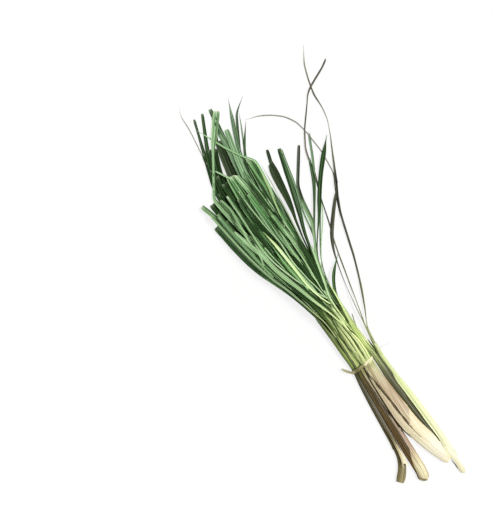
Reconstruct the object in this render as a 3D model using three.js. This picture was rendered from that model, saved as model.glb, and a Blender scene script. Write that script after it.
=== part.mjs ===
// One tied bunch of lemongrass, lying on a flat surface, in millimetres.
// +X runs from the bulb ends to the leaf tips, +Z is up, and z = 0 is the surface that the bunch lies on.
// Every place below is measured from the middle of the tie. The finished bunch is then moved so that the
// middle of its box's underside is the origin.
import * as THREE from "three";

// ---- Driving dimensions ----
const STALK_SIDES = 12; // flats round a stalk
const STALK_RING_STEP = 11; // length of stalk between two rings
const LEAF_RING_STEP = 14; // length of leaf between two rings
const LEAF_THICKNESS = 0.5;
const LEAF_FOLD = 0.06; // height of a leaf's edge over its midrib, per width of leaf
const LEAF_GAP = 0.32; // clear space kept between two leaves that cross
const ROOT_WIDTH = 2.6; // width of a leaf where it leaves its stalk
const OPENING_LENGTH = 80; // a leaf opens from its root's width to its full width within this length
const STEEPEST = 0.2; // the most that a stiff leaf climbs or falls per length
const SETTLING_LENGTH = 100; // a leaf sinks from its stalk's height to the surface within this length
const GRID_CELL = 0.8; // cell of the height map that the leaves are laid on

// The tie: the stalks that it holds, how far it stands off them, its lean along the bunch per distance across
// it, where round the bunch it starts (in degrees, from the left side upwards), its turns, and how far its
// second turn lies out.
const TIE = {
  stalks: ["thick_stalk", "brown_stalk", "short_stalk"],
  width: 3.2,
  thickness: 0.6,
  clearance: 0.7,
  slant: -0.2,
  start: 20,
  turns: 1.12,
  liftedFrom: 0.8, // turns after which it rises on to its own start
  lift: 1,
  rings: 56,
  looseEnd: [[-1.6, 14.6, 9.6], [0.6, 17.0, 7.4], [3.4, 19.4, 6.2], [6.0, 21.2, 5.6]],
};

const COLOURS = {
  creamBulb: 0xe9dcb4,
  brownStalk: 0xa88a66,
  shadedStalk: 0x76804f,
  greenStalk: 0xb9c878,
  freshBlade: 0x4f8048,
  darkBlade: 0x2c4a29,
  paleBlade: 0x93bd7c,
  dryLeaf: 0x77705a,
  tie: 0xd9c893,
};

// ---- Stalks: stations along each one, from its cut end to where its leaves part ----
// x, y, z: middle of the stalk; wide: half its width; high: half its height.
const STALKS = {
  thick_stalk: {
    colour: COLOURS.creamBulb,
    stations: [
      { x: -127, y: -26.2, z: 9.8, wide: 3.4, high: 4.4 },
      { x: -124.5, y: -25.2, z: 10.0, wide: 4.4, high: 5.6 },
      { x: -118, y: -23.3, z: 10.3, wide: 5.8, high: 7.0 },
      { x: -110, y: -21.2, z: 9.9, wide: 7.4, high: 8.2 },
      { x: -98, y: -18.0, z: 9.8, wide: 8.9, high: 8.9 },
      { x: -80, y: -12.3, z: 11.3, wide: 9.2, high: 8.8 },
      { x: -60, y: -8.9, z: 12.3, wide: 9.0, high: 8.2 },
      { x: -40, y: -6.8, z: 12.6, wide: 7.7, high: 7.2 },
      { x: -20, y: -5.2, z: 12.6, wide: 6.8, high: 6.4 },
      { x: 0, y: -4.4, z: 12.6, wide: 5.9, high: 5.8 },
      { x: 20, y: -2.7, z: 12.4, wide: 5.7, high: 5.5 },
      { x: 40, y: -1.4, z: 12.2, wide: 5.2, high: 5.2 },
      { x: 56, y: -0.6, z: 12.0, wide: 4.6, high: 4.6 },
      { x: 64, y: -0.3, z: 12.0, wide: 3.0, high: 3.4 },
    ],
  },
  brown_stalk: {
    colour: COLOURS.brownStalk,
    stations: [
      { x: -133, y: 4.6, z: 5.2, wide: 2.6, high: 2.8 },
      { x: -131, y: 3.9, z: 5.2, wide: 4.4, high: 4.4 },
      { x: -122, y: 2.5, z: 5.5, wide: 5.8, high: 5.4 },
      { x: -100, y: 3.2, z: 5.9, wide: 5.8, high: 5.5 },
      { x: -80, y: 3.6, z: 6.4, wide: 5.3, high: 5.2 },
      { x: -60, y: 4.3, z: 6.9, wide: 4.8, high: 4.8 },
      { x: -40, y: 4.8, z: 7.5, wide: 4.3, high: 4.4 },
      { x: -20, y: 5.1, z: 8.3, wide: 3.8, high: 3.9 },
      { x: 0, y: 5.1, z: 8.9, wide: 3.3, high: 3.4 },
      { x: 20, y: 6.1, z: 9.6, wide: 2.8, high: 3.1 },
      { x: 40, y: 7.0, z: 10.2, wide: 2.9, high: 3.0 },
      { x: 52, y: 7.5, z: 10.5, wide: 2.8, high: 2.8 },
      { x: 58, y: 7.7, z: 10.5, wide: 2.0, high: 2.0 },
    ],
  },
  short_stalk: {
    colour: COLOURS.brownStalk,
    stations: [
      { x: -122, y: 27.2, z: 4.6, wide: 4.0, high: 3.6 },
      { x: -119.5, y: 24.6, z: 4.5, wide: 4.6, high: 4.3 },
      { x: -113, y: 19.4, z: 4.3, wide: 4.5, high: 4.2 },
      { x: -104, y: 15.0, z: 4.0, wide: 4.1, high: 3.9 },
      { x: -90, y: 12.9, z: 3.7, wide: 3.5, high: 3.5 },
      { x: -70, y: 12.4, z: 3.4, wide: 3.2, high: 3.2 },
      { x: -40, y: 11.9, z: 3.4, wide: 3.0, high: 3.0 },
      { x: -20, y: 11.1, z: 3.8, wide: 2.8, high: 2.8 },
      { x: 0, y: 9.8, z: 4.7, wide: 2.7, high: 2.7 },
      { x: 20, y: 11.4, z: 5.6, wide: 2.7, high: 2.7 },
      { x: 45, y: 13.8, z: 6.6, wide: 2.7, high: 2.7 },
      { x: 62, y: 16.0, z: 7.2, wide: 2.4, high: 2.4 },
      { x: 70, y: 16.8, z: 7.4, wide: 1.8, high: 1.9 },
    ],
  },
  shaded_stalk: {
    colour: COLOURS.shadedStalk,
    stations: [
      { x: -106, y: -28.3, z: 1.4, wide: 0.7, high: 0.8 },
      { x: -98, y: -27.0, z: 2.0, wide: 1.3, high: 1.6 },
      { x: -88, y: -25.2, z: 2.7, wide: 2.0, high: 2.4 },
      { x: -72, y: -22.4, z: 3.4, wide: 2.8, high: 3.1 },
      { x: -50, y: -19.6, z: 4.0, wide: 3.2, high: 3.5 },
      { x: -30, y: -17.2, z: 4.9, wide: 3.8, high: 3.8 },
      { x: 0, y: -14.6, z: 6.4, wide: 3.3, high: 3.5 },
      { x: 20, y: -11.6, z: 6.9, wide: 3.0, high: 3.1 },
      { x: 40, y: -9.7, z: 7.3, wide: 2.7, high: 2.8 },
      { x: 56, y: -9.3, z: 7.7, wide: 2.4, high: 2.5 },
      { x: 62, y: -9.3, z: 7.8, wide: 1.7, high: 1.8 },
    ],
  },
  rooted_stalk: {
    colour: COLOURS.greenStalk,
    stations: [
      { x: -146, y: -33.8, z: 4.0, wide: 1.4, high: 1.4 },
      { x: -144, y: -33.6, z: 4.1, wide: 2.3, high: 2.2 },
      { x: -134, y: -33.1, z: 4.3, wide: 2.7, high: 2.6 },
      { x: -129, y: -32.9, z: 4.4, wide: 2.9, high: 2.8 },
      { x: -126, y: -32.7, z: 4.6, wide: 3.9, high: 4.0 },
      { x: -118, y: -32.4, z: 4.7, wide: 4.4, high: 4.6 },
      { x: -100, y: -31.9, z: 4.3, wide: 3.4, high: 4.0 },
      { x: -80, y: -29.8, z: 4.1, wide: 3.3, high: 3.8 },
      { x: -50, y: -26.3, z: 3.8, wide: 2.9, high: 3.3 },
      { x: -20, y: -22.6, z: 4.2, wide: 1.9, high: 2.4 },
      { x: 0, y: -20.6, z: 4.9, wide: 2.0, high: 2.3 },
      { x: 18, y: -20.6, z: 5.2, wide: 1.8, high: 2.0 },
      { x: 28, y: -21.6, z: 5.2, wide: 1.3, high: 1.5 },
    ],
  },
};

// ---- Leaves, in the order that they lie, the lowest first ----
// path: the midrib's way over the surface; width: the widest place; tip: the width left at the cut end.
const LEAVES = [
  // An outer sheath that stands off the short stalk's cut end.
  { name: "loose_sheath", stalk: "short_stalk", colour: COLOURS.creamBulb, width: 5, tip: 0.9,
    path: [[-68, 12.6], [-88, 12.4], [-109, 13.6]] },
  // The long blades at the bottom. Their ends are the tuft beyond the others.
  { name: "tuft_blade_1", stalk: "shaded_stalk", colour: COLOURS.darkBlade, width: 5, tip: 0.5,
    path: [[63, -8.2], [120, -4], [190, 3], [245, 0], [293, -30]] },
  { name: "tuft_blade_2", stalk: "short_stalk", colour: COLOURS.darkBlade, width: 4.5, tip: 0.5,
    path: [[71, 15.4], [120, 29], [180, 41], [235, 38], [297, 24]] },
  { name: "tuft_blade_3", stalk: "thick_stalk", colour: COLOURS.freshBlade, width: 6, tip: 0.4,
    path: [[65, -0.6], [130, 3], [200, 6], [245, 1], [300, -17]] },
  { name: "tuft_blade_4", stalk: "short_stalk", colour: COLOURS.darkBlade, width: 5, tip: 0.6,
    path: [[71, 18.2], [120, 31], [190, 42], [245, 34], [298, 14]] },
  { name: "tuft_blade_5", stalk: "thick_stalk", colour: COLOURS.freshBlade, width: 3, tip: 0.4,
    path: [[65, 0.2], [130, -3], [200, 3], [238, -1], [269, -20]] },
  { name: "tuft_blade_6", stalk: "thick_stalk", colour: COLOURS.freshBlade, width: 7, tip: 0.6,
    path: [[65, 3.2], [130, 8], [200, 12], [250, 9], [298, 5]] },
  { name: "tuft_blade_7", stalk: "brown_stalk", colour: COLOURS.darkBlade, width: 9, tip: 0.8,
    path: [[59, 6.2], [120, 16], [190, 21], [235, 19], [266, 14]] },
  { name: "tuft_blade_8", stalk: "thick_stalk", colour: COLOURS.darkBlade, width: 7, tip: 0.8,
    path: [[65, 0.2], [130, 6], [200, 9], [240, 6], [272, 1]] },
  // The dry leaves of the rooted stalk.
  { name: "dry_leaf_arc", stalk: "rooted_stalk", colour: COLOURS.dryLeaf, width: 1.6, tip: 0.5,
    path: [[29, -22], [60, -31.5], [100, -44], [150, -59], [185, -69.5], [208, -70.5],
      [232, -67], [252, -58], [265, -43], [271, -20]] },
  { name: "dry_leaf_long", stalk: "rooted_stalk", colour: COLOURS.dryLeaf, width: 2.4, tip: 0.6,
    path: [[29, -22.5], [60, -34.5], [100, -47.5], [150, -61], [200, -79], [232, -92],
      [262, -94], [307, -110]] },
  { name: "dry_leaf_crossing", stalk: "rooted_stalk", colour: COLOURS.dryLeaf, width: 2.6, tip: 0.6,
    path: [[29, -21.5], [60, -27], [105, -34], [150, -42.5], [180, -53], [212, -58.5],
      [250, -79], [285, -122]] },
  { name: "dry_leaf_twisted", stalk: "rooted_stalk", colour: COLOURS.dryLeaf, width: 4, tip: 0.5,
    path: [[29, -20.5], [60, -23], [100, -28.5], [122, -34.5], [145, -50], [172, -71]] },
  // The blades that fan out at the side where the dry leaves are.
  { name: "side_blade_1", stalk: "shaded_stalk", colour: COLOURS.freshBlade, width: 4, tip: 0.5,
    path: [[63, -11], [100, -12], [130, -26], [165, -47], [205, -73]] },
  { name: "side_blade_2", stalk: "shaded_stalk", colour: COLOURS.darkBlade, width: 4.5, tip: 0.4,
    path: [[63, -11], [110, -12], [150, -36], [185, -58], [217, -84]] },
  { name: "side_blade_3", stalk: "shaded_stalk", colour: COLOURS.darkBlade, width: 4, tip: 0.5,
    path: [[63, -8.4], [110, -10.5], [150, -30.5], [185, -50], [206, -57]] },
  { name: "side_blade_4", stalk: "thick_stalk", colour: COLOURS.paleBlade, width: 5.5, tip: 0.6,
    path: [[65, -3.6], [115, -11], [150, -27.5], [185, -33], [222, -54]] },
  { name: "side_blade_short", stalk: "shaded_stalk", colour: COLOURS.freshBlade, width: 4.8, tip: 0.4,
    path: [[63, -11.2], [82, -13], [96, -22], [108, -34]] },
  { name: "side_blade_5", stalk: "thick_stalk", colour: COLOURS.darkBlade, width: 6.5, tip: 0.5,
    path: [[65, -3.6], [105, -8], [150, -16.5], [190, -27], [229, -35.5]] },
  { name: "side_blade_6", stalk: "thick_stalk", colour: COLOURS.darkBlade, width: 4.5, tip: 0.5,
    path: [[65, -3.6], [105, -6], [150, -10], [195, -14.5], [234, -25]] },
  { name: "side_blade_7", stalk: "thick_stalk", colour: COLOURS.darkBlade, width: 9.5, tip: 0.9,
    path: [[65, -3.4], [105, -5], [150, -11.5], [190, -16.5], [220, -19.5]] },
  // The blades inside the mass.
  { name: "inner_blade_1", stalk: "thick_stalk", colour: COLOURS.darkBlade, width: 9, tip: 0.8,
    path: [[65, 3.2], [105, 14], [150, 24], [190, 28], [226, 30]] },
  { name: "inner_blade_2", stalk: "short_stalk", colour: COLOURS.darkBlade, width: 9, tip: 0.8,
    path: [[71, 15.6], [110, 29], [160, 42], [214, 51]] },
  { name: "inner_blade_3", stalk: "brown_stalk", colour: COLOURS.freshBlade, width: 8, tip: 0.7,
    path: [[59, 9.3], [100, 22], [150, 34], [204, 39]] },
  { name: "inner_blade_4", stalk: "thick_stalk", colour: COLOURS.darkBlade, width: 9, tip: 0.8,
    path: [[65, -3.2], [110, -3], [160, -5.5], [200, -5], [226, -5]] },
  { name: "inner_blade_5", stalk: "thick_stalk", colour: COLOURS.freshBlade, width: 8, tip: 0.7,
    path: [[65, 3.2], [110, 9], [160, 19], [200, 23], [229, 23]] },
  { name: "inner_blade_6", stalk: "brown_stalk", colour: COLOURS.darkBlade, width: 8, tip: 0.8,
    path: [[59, 9.3], [100, 18], [150, 31], [192, 47]] },
  { name: "inner_blade_7", stalk: "thick_stalk", colour: COLOURS.freshBlade, width: 8, tip: 0.7,
    path: [[65, 0.4], [110, 4.5], [160, 7.5], [221, 12.5]] },
  { name: "side_blade_8", stalk: "thick_stalk", colour: COLOURS.dryLeaf, width: 2.2, tip: 0.5,
    path: [[65, -3.2], [120, -7.5], [180, -10.5], [225, -12]] },
  // The blades on top.
  { name: "top_blade_straight", stalk: "thick_stalk", colour: COLOURS.freshBlade, width: 9, tip: 0.9,
    path: [[46, -4.2], [110, -4], [160, -2.5], [200, -3], [234, -4]] },
  { name: "top_blade_bent_thin", stalk: "thick_stalk", colour: COLOURS.paleBlade, width: 3.5, tip: 0.5,
    path: [[52, -2], [120, -2], [180, -4], [224, -9], [238, -3], [286, 27]] },
  { name: "top_blade_dark", stalk: "thick_stalk", colour: COLOURS.darkBlade, width: 6.5, tip: 0.7,
    path: [[50, -0.5], [80, 2.5], [118, 8], [160, 13], [206, 18]] },
  { name: "top_blade_yellow", stalk: "brown_stalk", colour: COLOURS.greenStalk, width: 7.5, tip: 0.4,
    path: [[44, 6.2], [90, 9], [125, 14], [159, 20]] },
  { name: "top_blade_middle", stalk: "thick_stalk", colour: COLOURS.freshBlade, width: 7, tip: 0.7,
    path: [[50, 1.2], [100, 6], [150, 10], [190, 17.5], [228, 21]] },
  { name: "top_blade_narrow", stalk: "brown_stalk", colour: COLOURS.paleBlade, width: 4, tip: 0.6,
    path: [[46, 7.6], [105, 17], [155, 28], [213, 34]] },
  { name: "top_blade_blunt", stalk: "brown_stalk", colour: COLOURS.paleBlade, width: 6, tip: 0.9,
    path: [[46, 7], [90, 14.5], [130, 26], [167, 34.5]] },
  { name: "top_blade_bent_wide", stalk: "brown_stalk", colour: COLOURS.paleBlade, width: 7, tip: 0.4,
    path: [[47, 8.6], [105, 22], [160, 36], [214, 47.5], [232, 41], [262, 23], [293, -1]] },
  { name: "top_blade_edge", stalk: "short_stalk", colour: COLOURS.freshBlade, width: 9, tip: 0.7,
    path: [[52, 14.6], [95, 27], [140, 45.5], [192, 59]] },
  { name: "top_blade_light", stalk: "shaded_stalk", colour: COLOURS.paleBlade, width: 8, tip: 0.7,
    path: [[44, -9.2], [110, -4.5], [150, 0.5], [190, 8.5], [227, 16]] },
  { name: "top_blade_upper", stalk: "brown_stalk", colour: COLOURS.freshBlade, width: 7.5, tip: 0.6,
    path: [[40, 8.2], [85, 14], [125, 32], [165, 47], [206, 57]] },
  { name: "top_blade_pale", stalk: "thick_stalk", colour: COLOURS.paleBlade, width: 8, tip: 0.7,
    path: [[54, 2.2], [100, 14], [140, 32.5], [180, 46.5], [217, 61]] },
];

// ---- Shape helpers ----

/** A number between a and b, t of the way along. */
const mix = (a, b, t) => a + (b - a) * t;

/** 0 up to 1 as t goes from 0 to 1, level at both ends. */
const ease = (t) => THREE.MathUtils.smoothstep(t, 0, 1);

/**
 * Joins equal rings of points into one closed surface that faces outwards.
 * Each ring runs anticlockwise as seen by someone looking back along the path from its far end.
 */
function skinRings(rings) {
  const around = rings[0].length;
  const faces = [];
  for (let ring = 0; ring < rings.length - 1; ring++)
    for (let i = 0; i < around; i++) {
      const a = ring * around + i;
      const b = ring * around + ((i + 1) % around);
      faces.push(a, b, b + around, a, b + around, a + around);
    }
  const last = (rings.length - 1) * around;
  for (let i = 1; i < around - 1; i++) {
    faces.push(0, i + 1, i);
    faces.push(last, last + i, last + i + 1);
  }
  const geometry = new THREE.BufferGeometry().setFromPoints(rings.flat());
  geometry.setIndex(faces);
  geometry.computeVertexNormals();
  return geometry;
}

/** Places a flat section's [sideways, up] points at one point of a path. */
function placeSection(section, point, along, sideways) {
  const forward = along.clone().normalize();
  const side = sideways.clone().addScaledVector(forward, -sideways.dot(forward)).normalize();
  const up = new THREE.Vector3().crossVectors(forward, side);
  return section.map(([u, v]) => point.clone().addScaledVector(side, u).addScaledVector(up, v));
}

/** The level direction to the left of a path that goes along the given way. */
const leftOf = (along) => new THREE.Vector3(-along.y, along.x, 0);

/** A mesh of one piece, in its own colour. */
function piece(name, geometry, color, roughness) {
  const mesh = new THREE.Mesh(geometry, new THREE.MeshStandardMaterial({ color, roughness, metalness: 0 }));
  mesh.name = name;
  return mesh;
}

// ---- Stalks ----

/** The section of a stalk: an ellipse. */
function ellipse(wide, high) {
  return Array.from({ length: STALK_SIDES }, (_, i) => {
    const turn = (2 * Math.PI * i) / STALK_SIDES;
    return [wide * Math.cos(turn), high * Math.sin(turn)];
  });
}

/** Smooth stations along a stalk, about one ring step apart, with every given station kept. */
function stalkStations(stations) {
  const centre = new THREE.CatmullRomCurve3(stations.map(({ x, y, z }) => new THREE.Vector3(x, y, z)));
  const size = new THREE.CatmullRomCurve3(stations.map(({ wide, high }) => new THREE.Vector3(wide, high, 0)));
  const spans = stations.length - 1;
  const rings = [];
  for (let span = 0; span < spans; span++) {
    const length = stations[span + 1].x - stations[span].x;
    const steps = Math.max(1, Math.round(length / STALK_RING_STEP));
    for (let step = 0; step < steps; step++) rings.push((span + step / steps) / spans);
  }
  rings.push(1);
  return rings.map((t) => {
    const half = size.getPoint(t);
    return { point: centre.getPoint(t), along: centre.getTangent(t), wide: half.x, high: half.y };
  });
}

/** One stalk: an oval rod along its stations. */
function stalkGeometry(stations) {
  return skinRings(stalkStations(stations).map(({ point, along, wide, high }) =>
    placeSection(ellipse(wide, high), point, along, leftOf(along))));
}

// ---- The height map that the leaves are laid on ----

const heights = new Map();
const cellKey = (x, y) => Math.round(x / GRID_CELL) + ":" + Math.round(y / GRID_CELL);

/** Height of what already lies at a place, or of the bare surface. */
const heightAt = (x, y) => heights.get(cellKey(x, y)) ?? 0;

/** Notes that something reaches up to z over a strip across a path. */
function coverStrip(point, side, reach, z) {
  for (let u = -reach; u <= reach; u += GRID_CELL / 2) {
    const key = cellKey(point.x + side.x * u, point.y + side.y * u);
    heights.set(key, Math.max(heights.get(key) ?? 0, z));
  }
}

/** The highest thing under a strip across a path. */
function highestUnder(point, side, reach) {
  let top = 0;
  for (let u = -reach; u <= reach; u += GRID_CELL / 2)
    top = Math.max(top, heightAt(point.x + side.x * u, point.y + side.y * u));
  return top;
}

/** Marks a finished stalk on the height map. */
function coverStalk(stations) {
  const rings = stalkStations(stations);
  rings.slice(1).forEach((next, i) => {
    const previous = rings[i];
    for (let t = 0; t <= 1; t += 0.05) {
      const point = previous.point.clone().lerp(next.point, t);
      const wide = mix(previous.wide, next.wide, t);
      const high = mix(previous.high, next.high, t);
      coverStrip(point, leftOf(next.along).normalize(), wide + 0.3, point.z + high);
    }
  });
}

// ---- Leaves ----

/** Width of a leaf, t of the way along its length from root to tip. */
function leafWidth({ width, tip }, t, length) {
  const opened = mix(Math.min(ROOT_WIDTH, width), width, ease((t * length) / OPENING_LENGTH));
  return opened * mix(1, tip, ease((t - 0.72) / 0.28));
}

/** The section of a leaf: a thin strip folded a little along its midrib. */
function foldedStrip(width, fold) {
  const half = width / 2;
  const edge = width * fold;
  return [[0, 0], [-half, edge], [-half, edge - LEAF_THICKNESS], [0, -LEAF_THICKNESS],
    [half, edge - LEAF_THICKNESS], [half, edge]];
}

/** The least height of a leaf's midrib at its root: low down in its stalk's end. */
function rootHeight(leaf) {
  const end = STALKS[leaf.stalk].stations.at(-1);
  return Math.max(LEAF_THICKNESS, end.z - end.high);
}

/**
 * Lays a leaf down on what is already there, and marks it on the height map.
 * Returns the points of its midrib with the width at each.
 */
function layLeaf(leaf) {
  const places = leaf.path.map(([x, y]) => new THREE.Vector3(x, y, 0));
  const flatWay = new THREE.CatmullRomCurve3(places, false, "centripetal");
  const length = flatWay.getLength();
  const spans = Math.max(6, Math.round(length / LEAF_RING_STEP));
  const knots = Array.from({ length: spans + 1 }, (_, i) => {
    const t = i / spans;
    const sinking = rootHeight(leaf) * (1 - ease((t * length) / SETTLING_LENGTH));
    const z = Math.max(LEAF_THICKNESS, sinking);
    return { point: flatWay.getPointAt(t), width: leafWidth(leaf, t, length), z };
  });
  const samples = [];
  for (let span = 0; span < spans; span++)
    for (let t = 0; t < 1; t += 0.05) samples.push({ span, t });

  const between = (span, t, read) => mix(read(knots[span]), read(knots[span + 1]), t);
  const placeOf = ({ span, t }) => {
    const [a, b] = [knots[span].point, knots[span + 1].point];
    return { point: a.clone().lerp(b, t), side: leftOf(b.clone().sub(a)).normalize() };
  };
  const needed = samples.map((sample) => {
    const { point, side } = placeOf(sample);
    const reach = between(sample.span, sample.t, (knot) => knot.width) / 2 + LEAF_GAP;
    const below = highestUnder(point, side, reach);
    return below > 0 ? below + LEAF_GAP + LEAF_THICKNESS : LEAF_THICKNESS;
  });
  samples.forEach(({ span, t }, i) => {
    const nearest = knots[t < 0.5 ? span : span + 1];
    nearest.z = Math.max(nearest.z, needed[i]);
  });
  samples.forEach(({ span, t }, i) => {
    const short = Math.max(0, needed[i] - between(span, t, (knot) => knot.z));
    knots[span].z += short;
    knots[span + 1].z += short;
  });
  const fall = (STEEPEST * length) / spans;
  for (let i = 1; i <= spans; i++) knots[i].z = Math.max(knots[i].z, knots[i - 1].z - fall);
  for (let i = spans - 1; i >= 0; i--) knots[i].z = Math.max(knots[i].z, knots[i + 1].z - fall);
  samples.forEach((sample) => {
    const { point, side } = placeOf(sample);
    const width = between(sample.span, sample.t, (knot) => knot.width);
    const z = between(sample.span, sample.t, (knot) => knot.z);
    coverStrip(point, side, width / 2 + LEAF_GAP, z + width * LEAF_FOLD);
  });
  return knots;
}

/** One leaf: a folded strip along its midrib. */
function leafGeometry(leaf) {
  const knots = layLeaf(leaf);
  const midrib = knots.map(({ point, z }) => new THREE.Vector3(point.x, point.y, z));
  return skinRings(midrib.map((point, i) => {
    const along = midrib[Math.min(i + 1, midrib.length - 1)].clone().sub(midrib[Math.max(i - 1, 0)]);
    return placeSection(foldedStrip(knots[i].width, LEAF_FOLD), point, along, leftOf(along));
  }));
}

// ---- The tie ----

/** Ovals of the stalks where the tie crosses them, in the plane across the bunch. */
function tiedOvals() {
  return TIE.stalks.map((name) => STALKS[name].stations.find(({ x }) => x === 0));
}

/** A point of the taut line round the tied stalks, turn radians round, at a distance off them. */
function tautPoint(turn, distance) {
  const reach = (angle) => Math.max(...tiedOvals().map(({ y, z, wide, high }) =>
    y * Math.cos(angle) + z * Math.sin(angle) + Math.hypot(wide * Math.cos(angle), high * Math.sin(angle))));
  const nudge = 0.02;
  const out = reach(turn) + distance;
  const turning = (reach(turn + nudge) - reach(turn - nudge)) / (2 * nudge);
  const y = out * Math.cos(turn) - turning * Math.sin(turn);
  const z = out * Math.sin(turn) + turning * Math.cos(turn);
  return new THREE.Vector3(TIE.slant * y, y, z);
}

/** The tie: a flat strip wound a little more than once round the stalks, with a loose end. */
function tieGeometry() {
  const start = THREE.MathUtils.degToRad(TIE.start);
  const wound = Array.from({ length: TIE.rings }, (_, i) => {
    const turned = (i / (TIE.rings - 1)) * TIE.turns;
    const lift = TIE.lift * ease((turned - TIE.liftedFrom) / (1 - TIE.liftedFrom));
    return tautPoint(start + turned * 2 * Math.PI, TIE.clearance + lift);
  });
  const line = [...wound, ...TIE.looseEnd.map((place) => new THREE.Vector3(...place))];
  const alongBunch = new THREE.Vector3(1, 0, 0);
  const [half, thin] = [TIE.width / 2, TIE.thickness / 2];
  const strip = [[half, thin], [-half, thin], [-half, -thin], [half, -thin]];
  return skinRings(line.map((point, i) => {
    const along = line[Math.min(i + 1, line.length - 1)].clone().sub(line[Math.max(i - 1, 0)]);
    return placeSection(strip, point, along, alongBunch);
  }));
}

// ---- The bunch ----

const bunch = new THREE.Group();
for (const [name, { stations, colour }] of Object.entries(STALKS)) {
  bunch.add(piece(name, stalkGeometry(stations), colour, 0.5));
  coverStalk(stations);
}
for (const leaf of LEAVES) bunch.add(piece(leaf.name, leafGeometry(leaf), leaf.colour, 0.55));
bunch.add(piece("tie", tieGeometry(), COLOURS.tie, 0.8));

const box = new THREE.Box3().setFromObject(bunch);
const middle = box.getCenter(new THREE.Vector3());
bunch.position.set(-middle.x, -middle.y, -box.min.z);

const part = new THREE.Group();
part.add(bunch);

export default part;
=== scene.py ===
"""Looks for one tied bunch of lemongrass that lies on a flat surface.

Shapes are worked out in millimetres from the middle of the tie: +X runs along the bunch from the cut
bulb ends to the leaf tips, +Y to the left and +Z up. They are moved into the row frame, in metres, when
their mesh is made. Each piece is built round the solid that it stands for.
"""

import logging
import math
from dataclasses import dataclass, field, replace
from enum import Enum

import bpy
import numpy as np
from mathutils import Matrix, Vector
from mathutils.bvhtree import BVHTree


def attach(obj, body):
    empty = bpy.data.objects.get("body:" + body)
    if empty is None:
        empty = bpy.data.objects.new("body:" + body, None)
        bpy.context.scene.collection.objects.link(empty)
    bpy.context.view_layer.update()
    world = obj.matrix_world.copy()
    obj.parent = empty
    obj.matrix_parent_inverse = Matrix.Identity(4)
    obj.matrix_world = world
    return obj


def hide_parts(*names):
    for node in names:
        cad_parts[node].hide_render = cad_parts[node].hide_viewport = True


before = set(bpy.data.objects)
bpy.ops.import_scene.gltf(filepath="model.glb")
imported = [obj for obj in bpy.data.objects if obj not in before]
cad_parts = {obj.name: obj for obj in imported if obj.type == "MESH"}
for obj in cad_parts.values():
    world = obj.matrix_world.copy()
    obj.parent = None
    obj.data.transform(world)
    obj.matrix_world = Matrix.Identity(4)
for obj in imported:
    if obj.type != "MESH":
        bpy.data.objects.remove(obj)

LOG = logging.getLogger("lemongrass")
METRES = 0.001  # one millimetre
BODY = "root"
FIRST_STATION = (-127.0, -26.2)  # the thick stalk's cut end, seen from the middle of the tie
STALK_SIDES, LEAF_SIDES, TIE_SIDES = 12, 6, 4  # points in a ring of each kind of solid
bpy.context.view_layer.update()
TIE_SLANT = -0.2  # how far the tie leans along the bunch, per distance across it
CLEAR = 0.04  # least height over the surface, in millimetres
LEVEL_END = 0.9995  # cosine between two faces that belong to the same flat end
THICKNESS = 0.3  # of a leaf, in millimetres
SHARP = 55  # degrees between two faces that meet in a sharp edge

Array = np.ndarray
Stops = tuple[tuple[float, str], ...]
Way = tuple[tuple[float, ...], ...]


class Fold(Enum):
    """How a leaf blade is folded across its width."""

    KEELED = "both halves rise from the midrib"
    FLAT = "almost level"
    ROLLED = "the edges curl up into a gutter"


class Tip(Enum):
    """How a leaf ends."""

    SQUARE = "cut straight across"
    SLANTED = "cut at a slant"
    POINTED = "drawn out to its own point"
    TORN = "frayed along its veins"


# ---- Small numeric helpers ----


def way(text: str) -> Way:
    """Reads rows of numbers in millimetres, such as "44,7.5 60,10.3": one row for each word."""
    return tuple(tuple(float(number) for number in word.split(",")) for word in text.split())


def lengths(points: Array) -> Array:
    """Distances along a line of points, from its first point to each."""
    steps = np.linalg.norm(np.diff(points, axis=0), axis=1)
    return np.concatenate([[0], np.cumsum(steps)])


def ease(t: Array | float) -> Array:
    """Goes from 0 to 1 as t does, level at both ends and beyond them."""
    t = np.clip(t, 0.0, 1.0)
    return t * t * (3 - 2 * t)


def follow(knots: Array, values: Array, at: Array) -> Array:
    """Smooth values between knots, with a cubic that passes through each one.

    Args:
        knots: Rising places of the known values.
        values: One row for each knot.
        at: Places to read, also beyond the ends, where the end's slope goes on.

    Returns:
        One row for each place.
    """
    slopes = np.gradient(values, knots, axis=0)
    inside = np.clip(at, knots[0], knots[-1])
    i = np.clip(np.searchsorted(knots, inside, side="right") - 1, 0, len(knots) - 2)
    span = (knots[i + 1] - knots[i]).reshape(-1, 1)
    t = (inside - knots[i]).reshape(-1, 1) / span
    read = (
        (2 * t**3 - 3 * t**2 + 1) * values[i]
        + (t**3 - 2 * t**2 + t) * slopes[i] * span
        + (-2 * t**3 + 3 * t**2) * values[i + 1]
        + (t**3 - t**2) * slopes[i + 1] * span
    )
    beyond = (at - inside).reshape(-1, 1)
    return read + np.where(beyond < 0, slopes[0], slopes[-1]) * beyond


def wander(seed: int, at: Array, wavelength: float) -> Array:
    """A smooth random walk round zero, about -1 to 1.

    Args:
        seed: Which walk.
        at: Places along it.
        wavelength: Distance between two turns of the walk.

    Returns:
        The walk's height at each place.
    """
    rng = np.random.default_rng(seed)
    phases = rng.uniform(0, 2 * math.pi, 3)
    return (
        np.sin(2 * math.pi * at / wavelength + phases[0])
        + 0.6 * np.sin(2 * math.pi * at / (wavelength * 0.61) + phases[1])
        + 0.4 * np.sin(2 * math.pi * at / (wavelength * 0.37) + phases[2])
    ) / 2


def unit(vectors: Array) -> Array:
    """The same directions with length one."""
    return vectors / np.linalg.norm(vectors, axis=-1, keepdims=True)


def level_left(along: Array) -> Array:
    """The level direction to the left of each way along, with length one."""
    return unit(np.stack([-along[:, 1], along[:, 0], np.zeros(len(along))], axis=1))


# ---- Reading the solids ----


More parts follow.
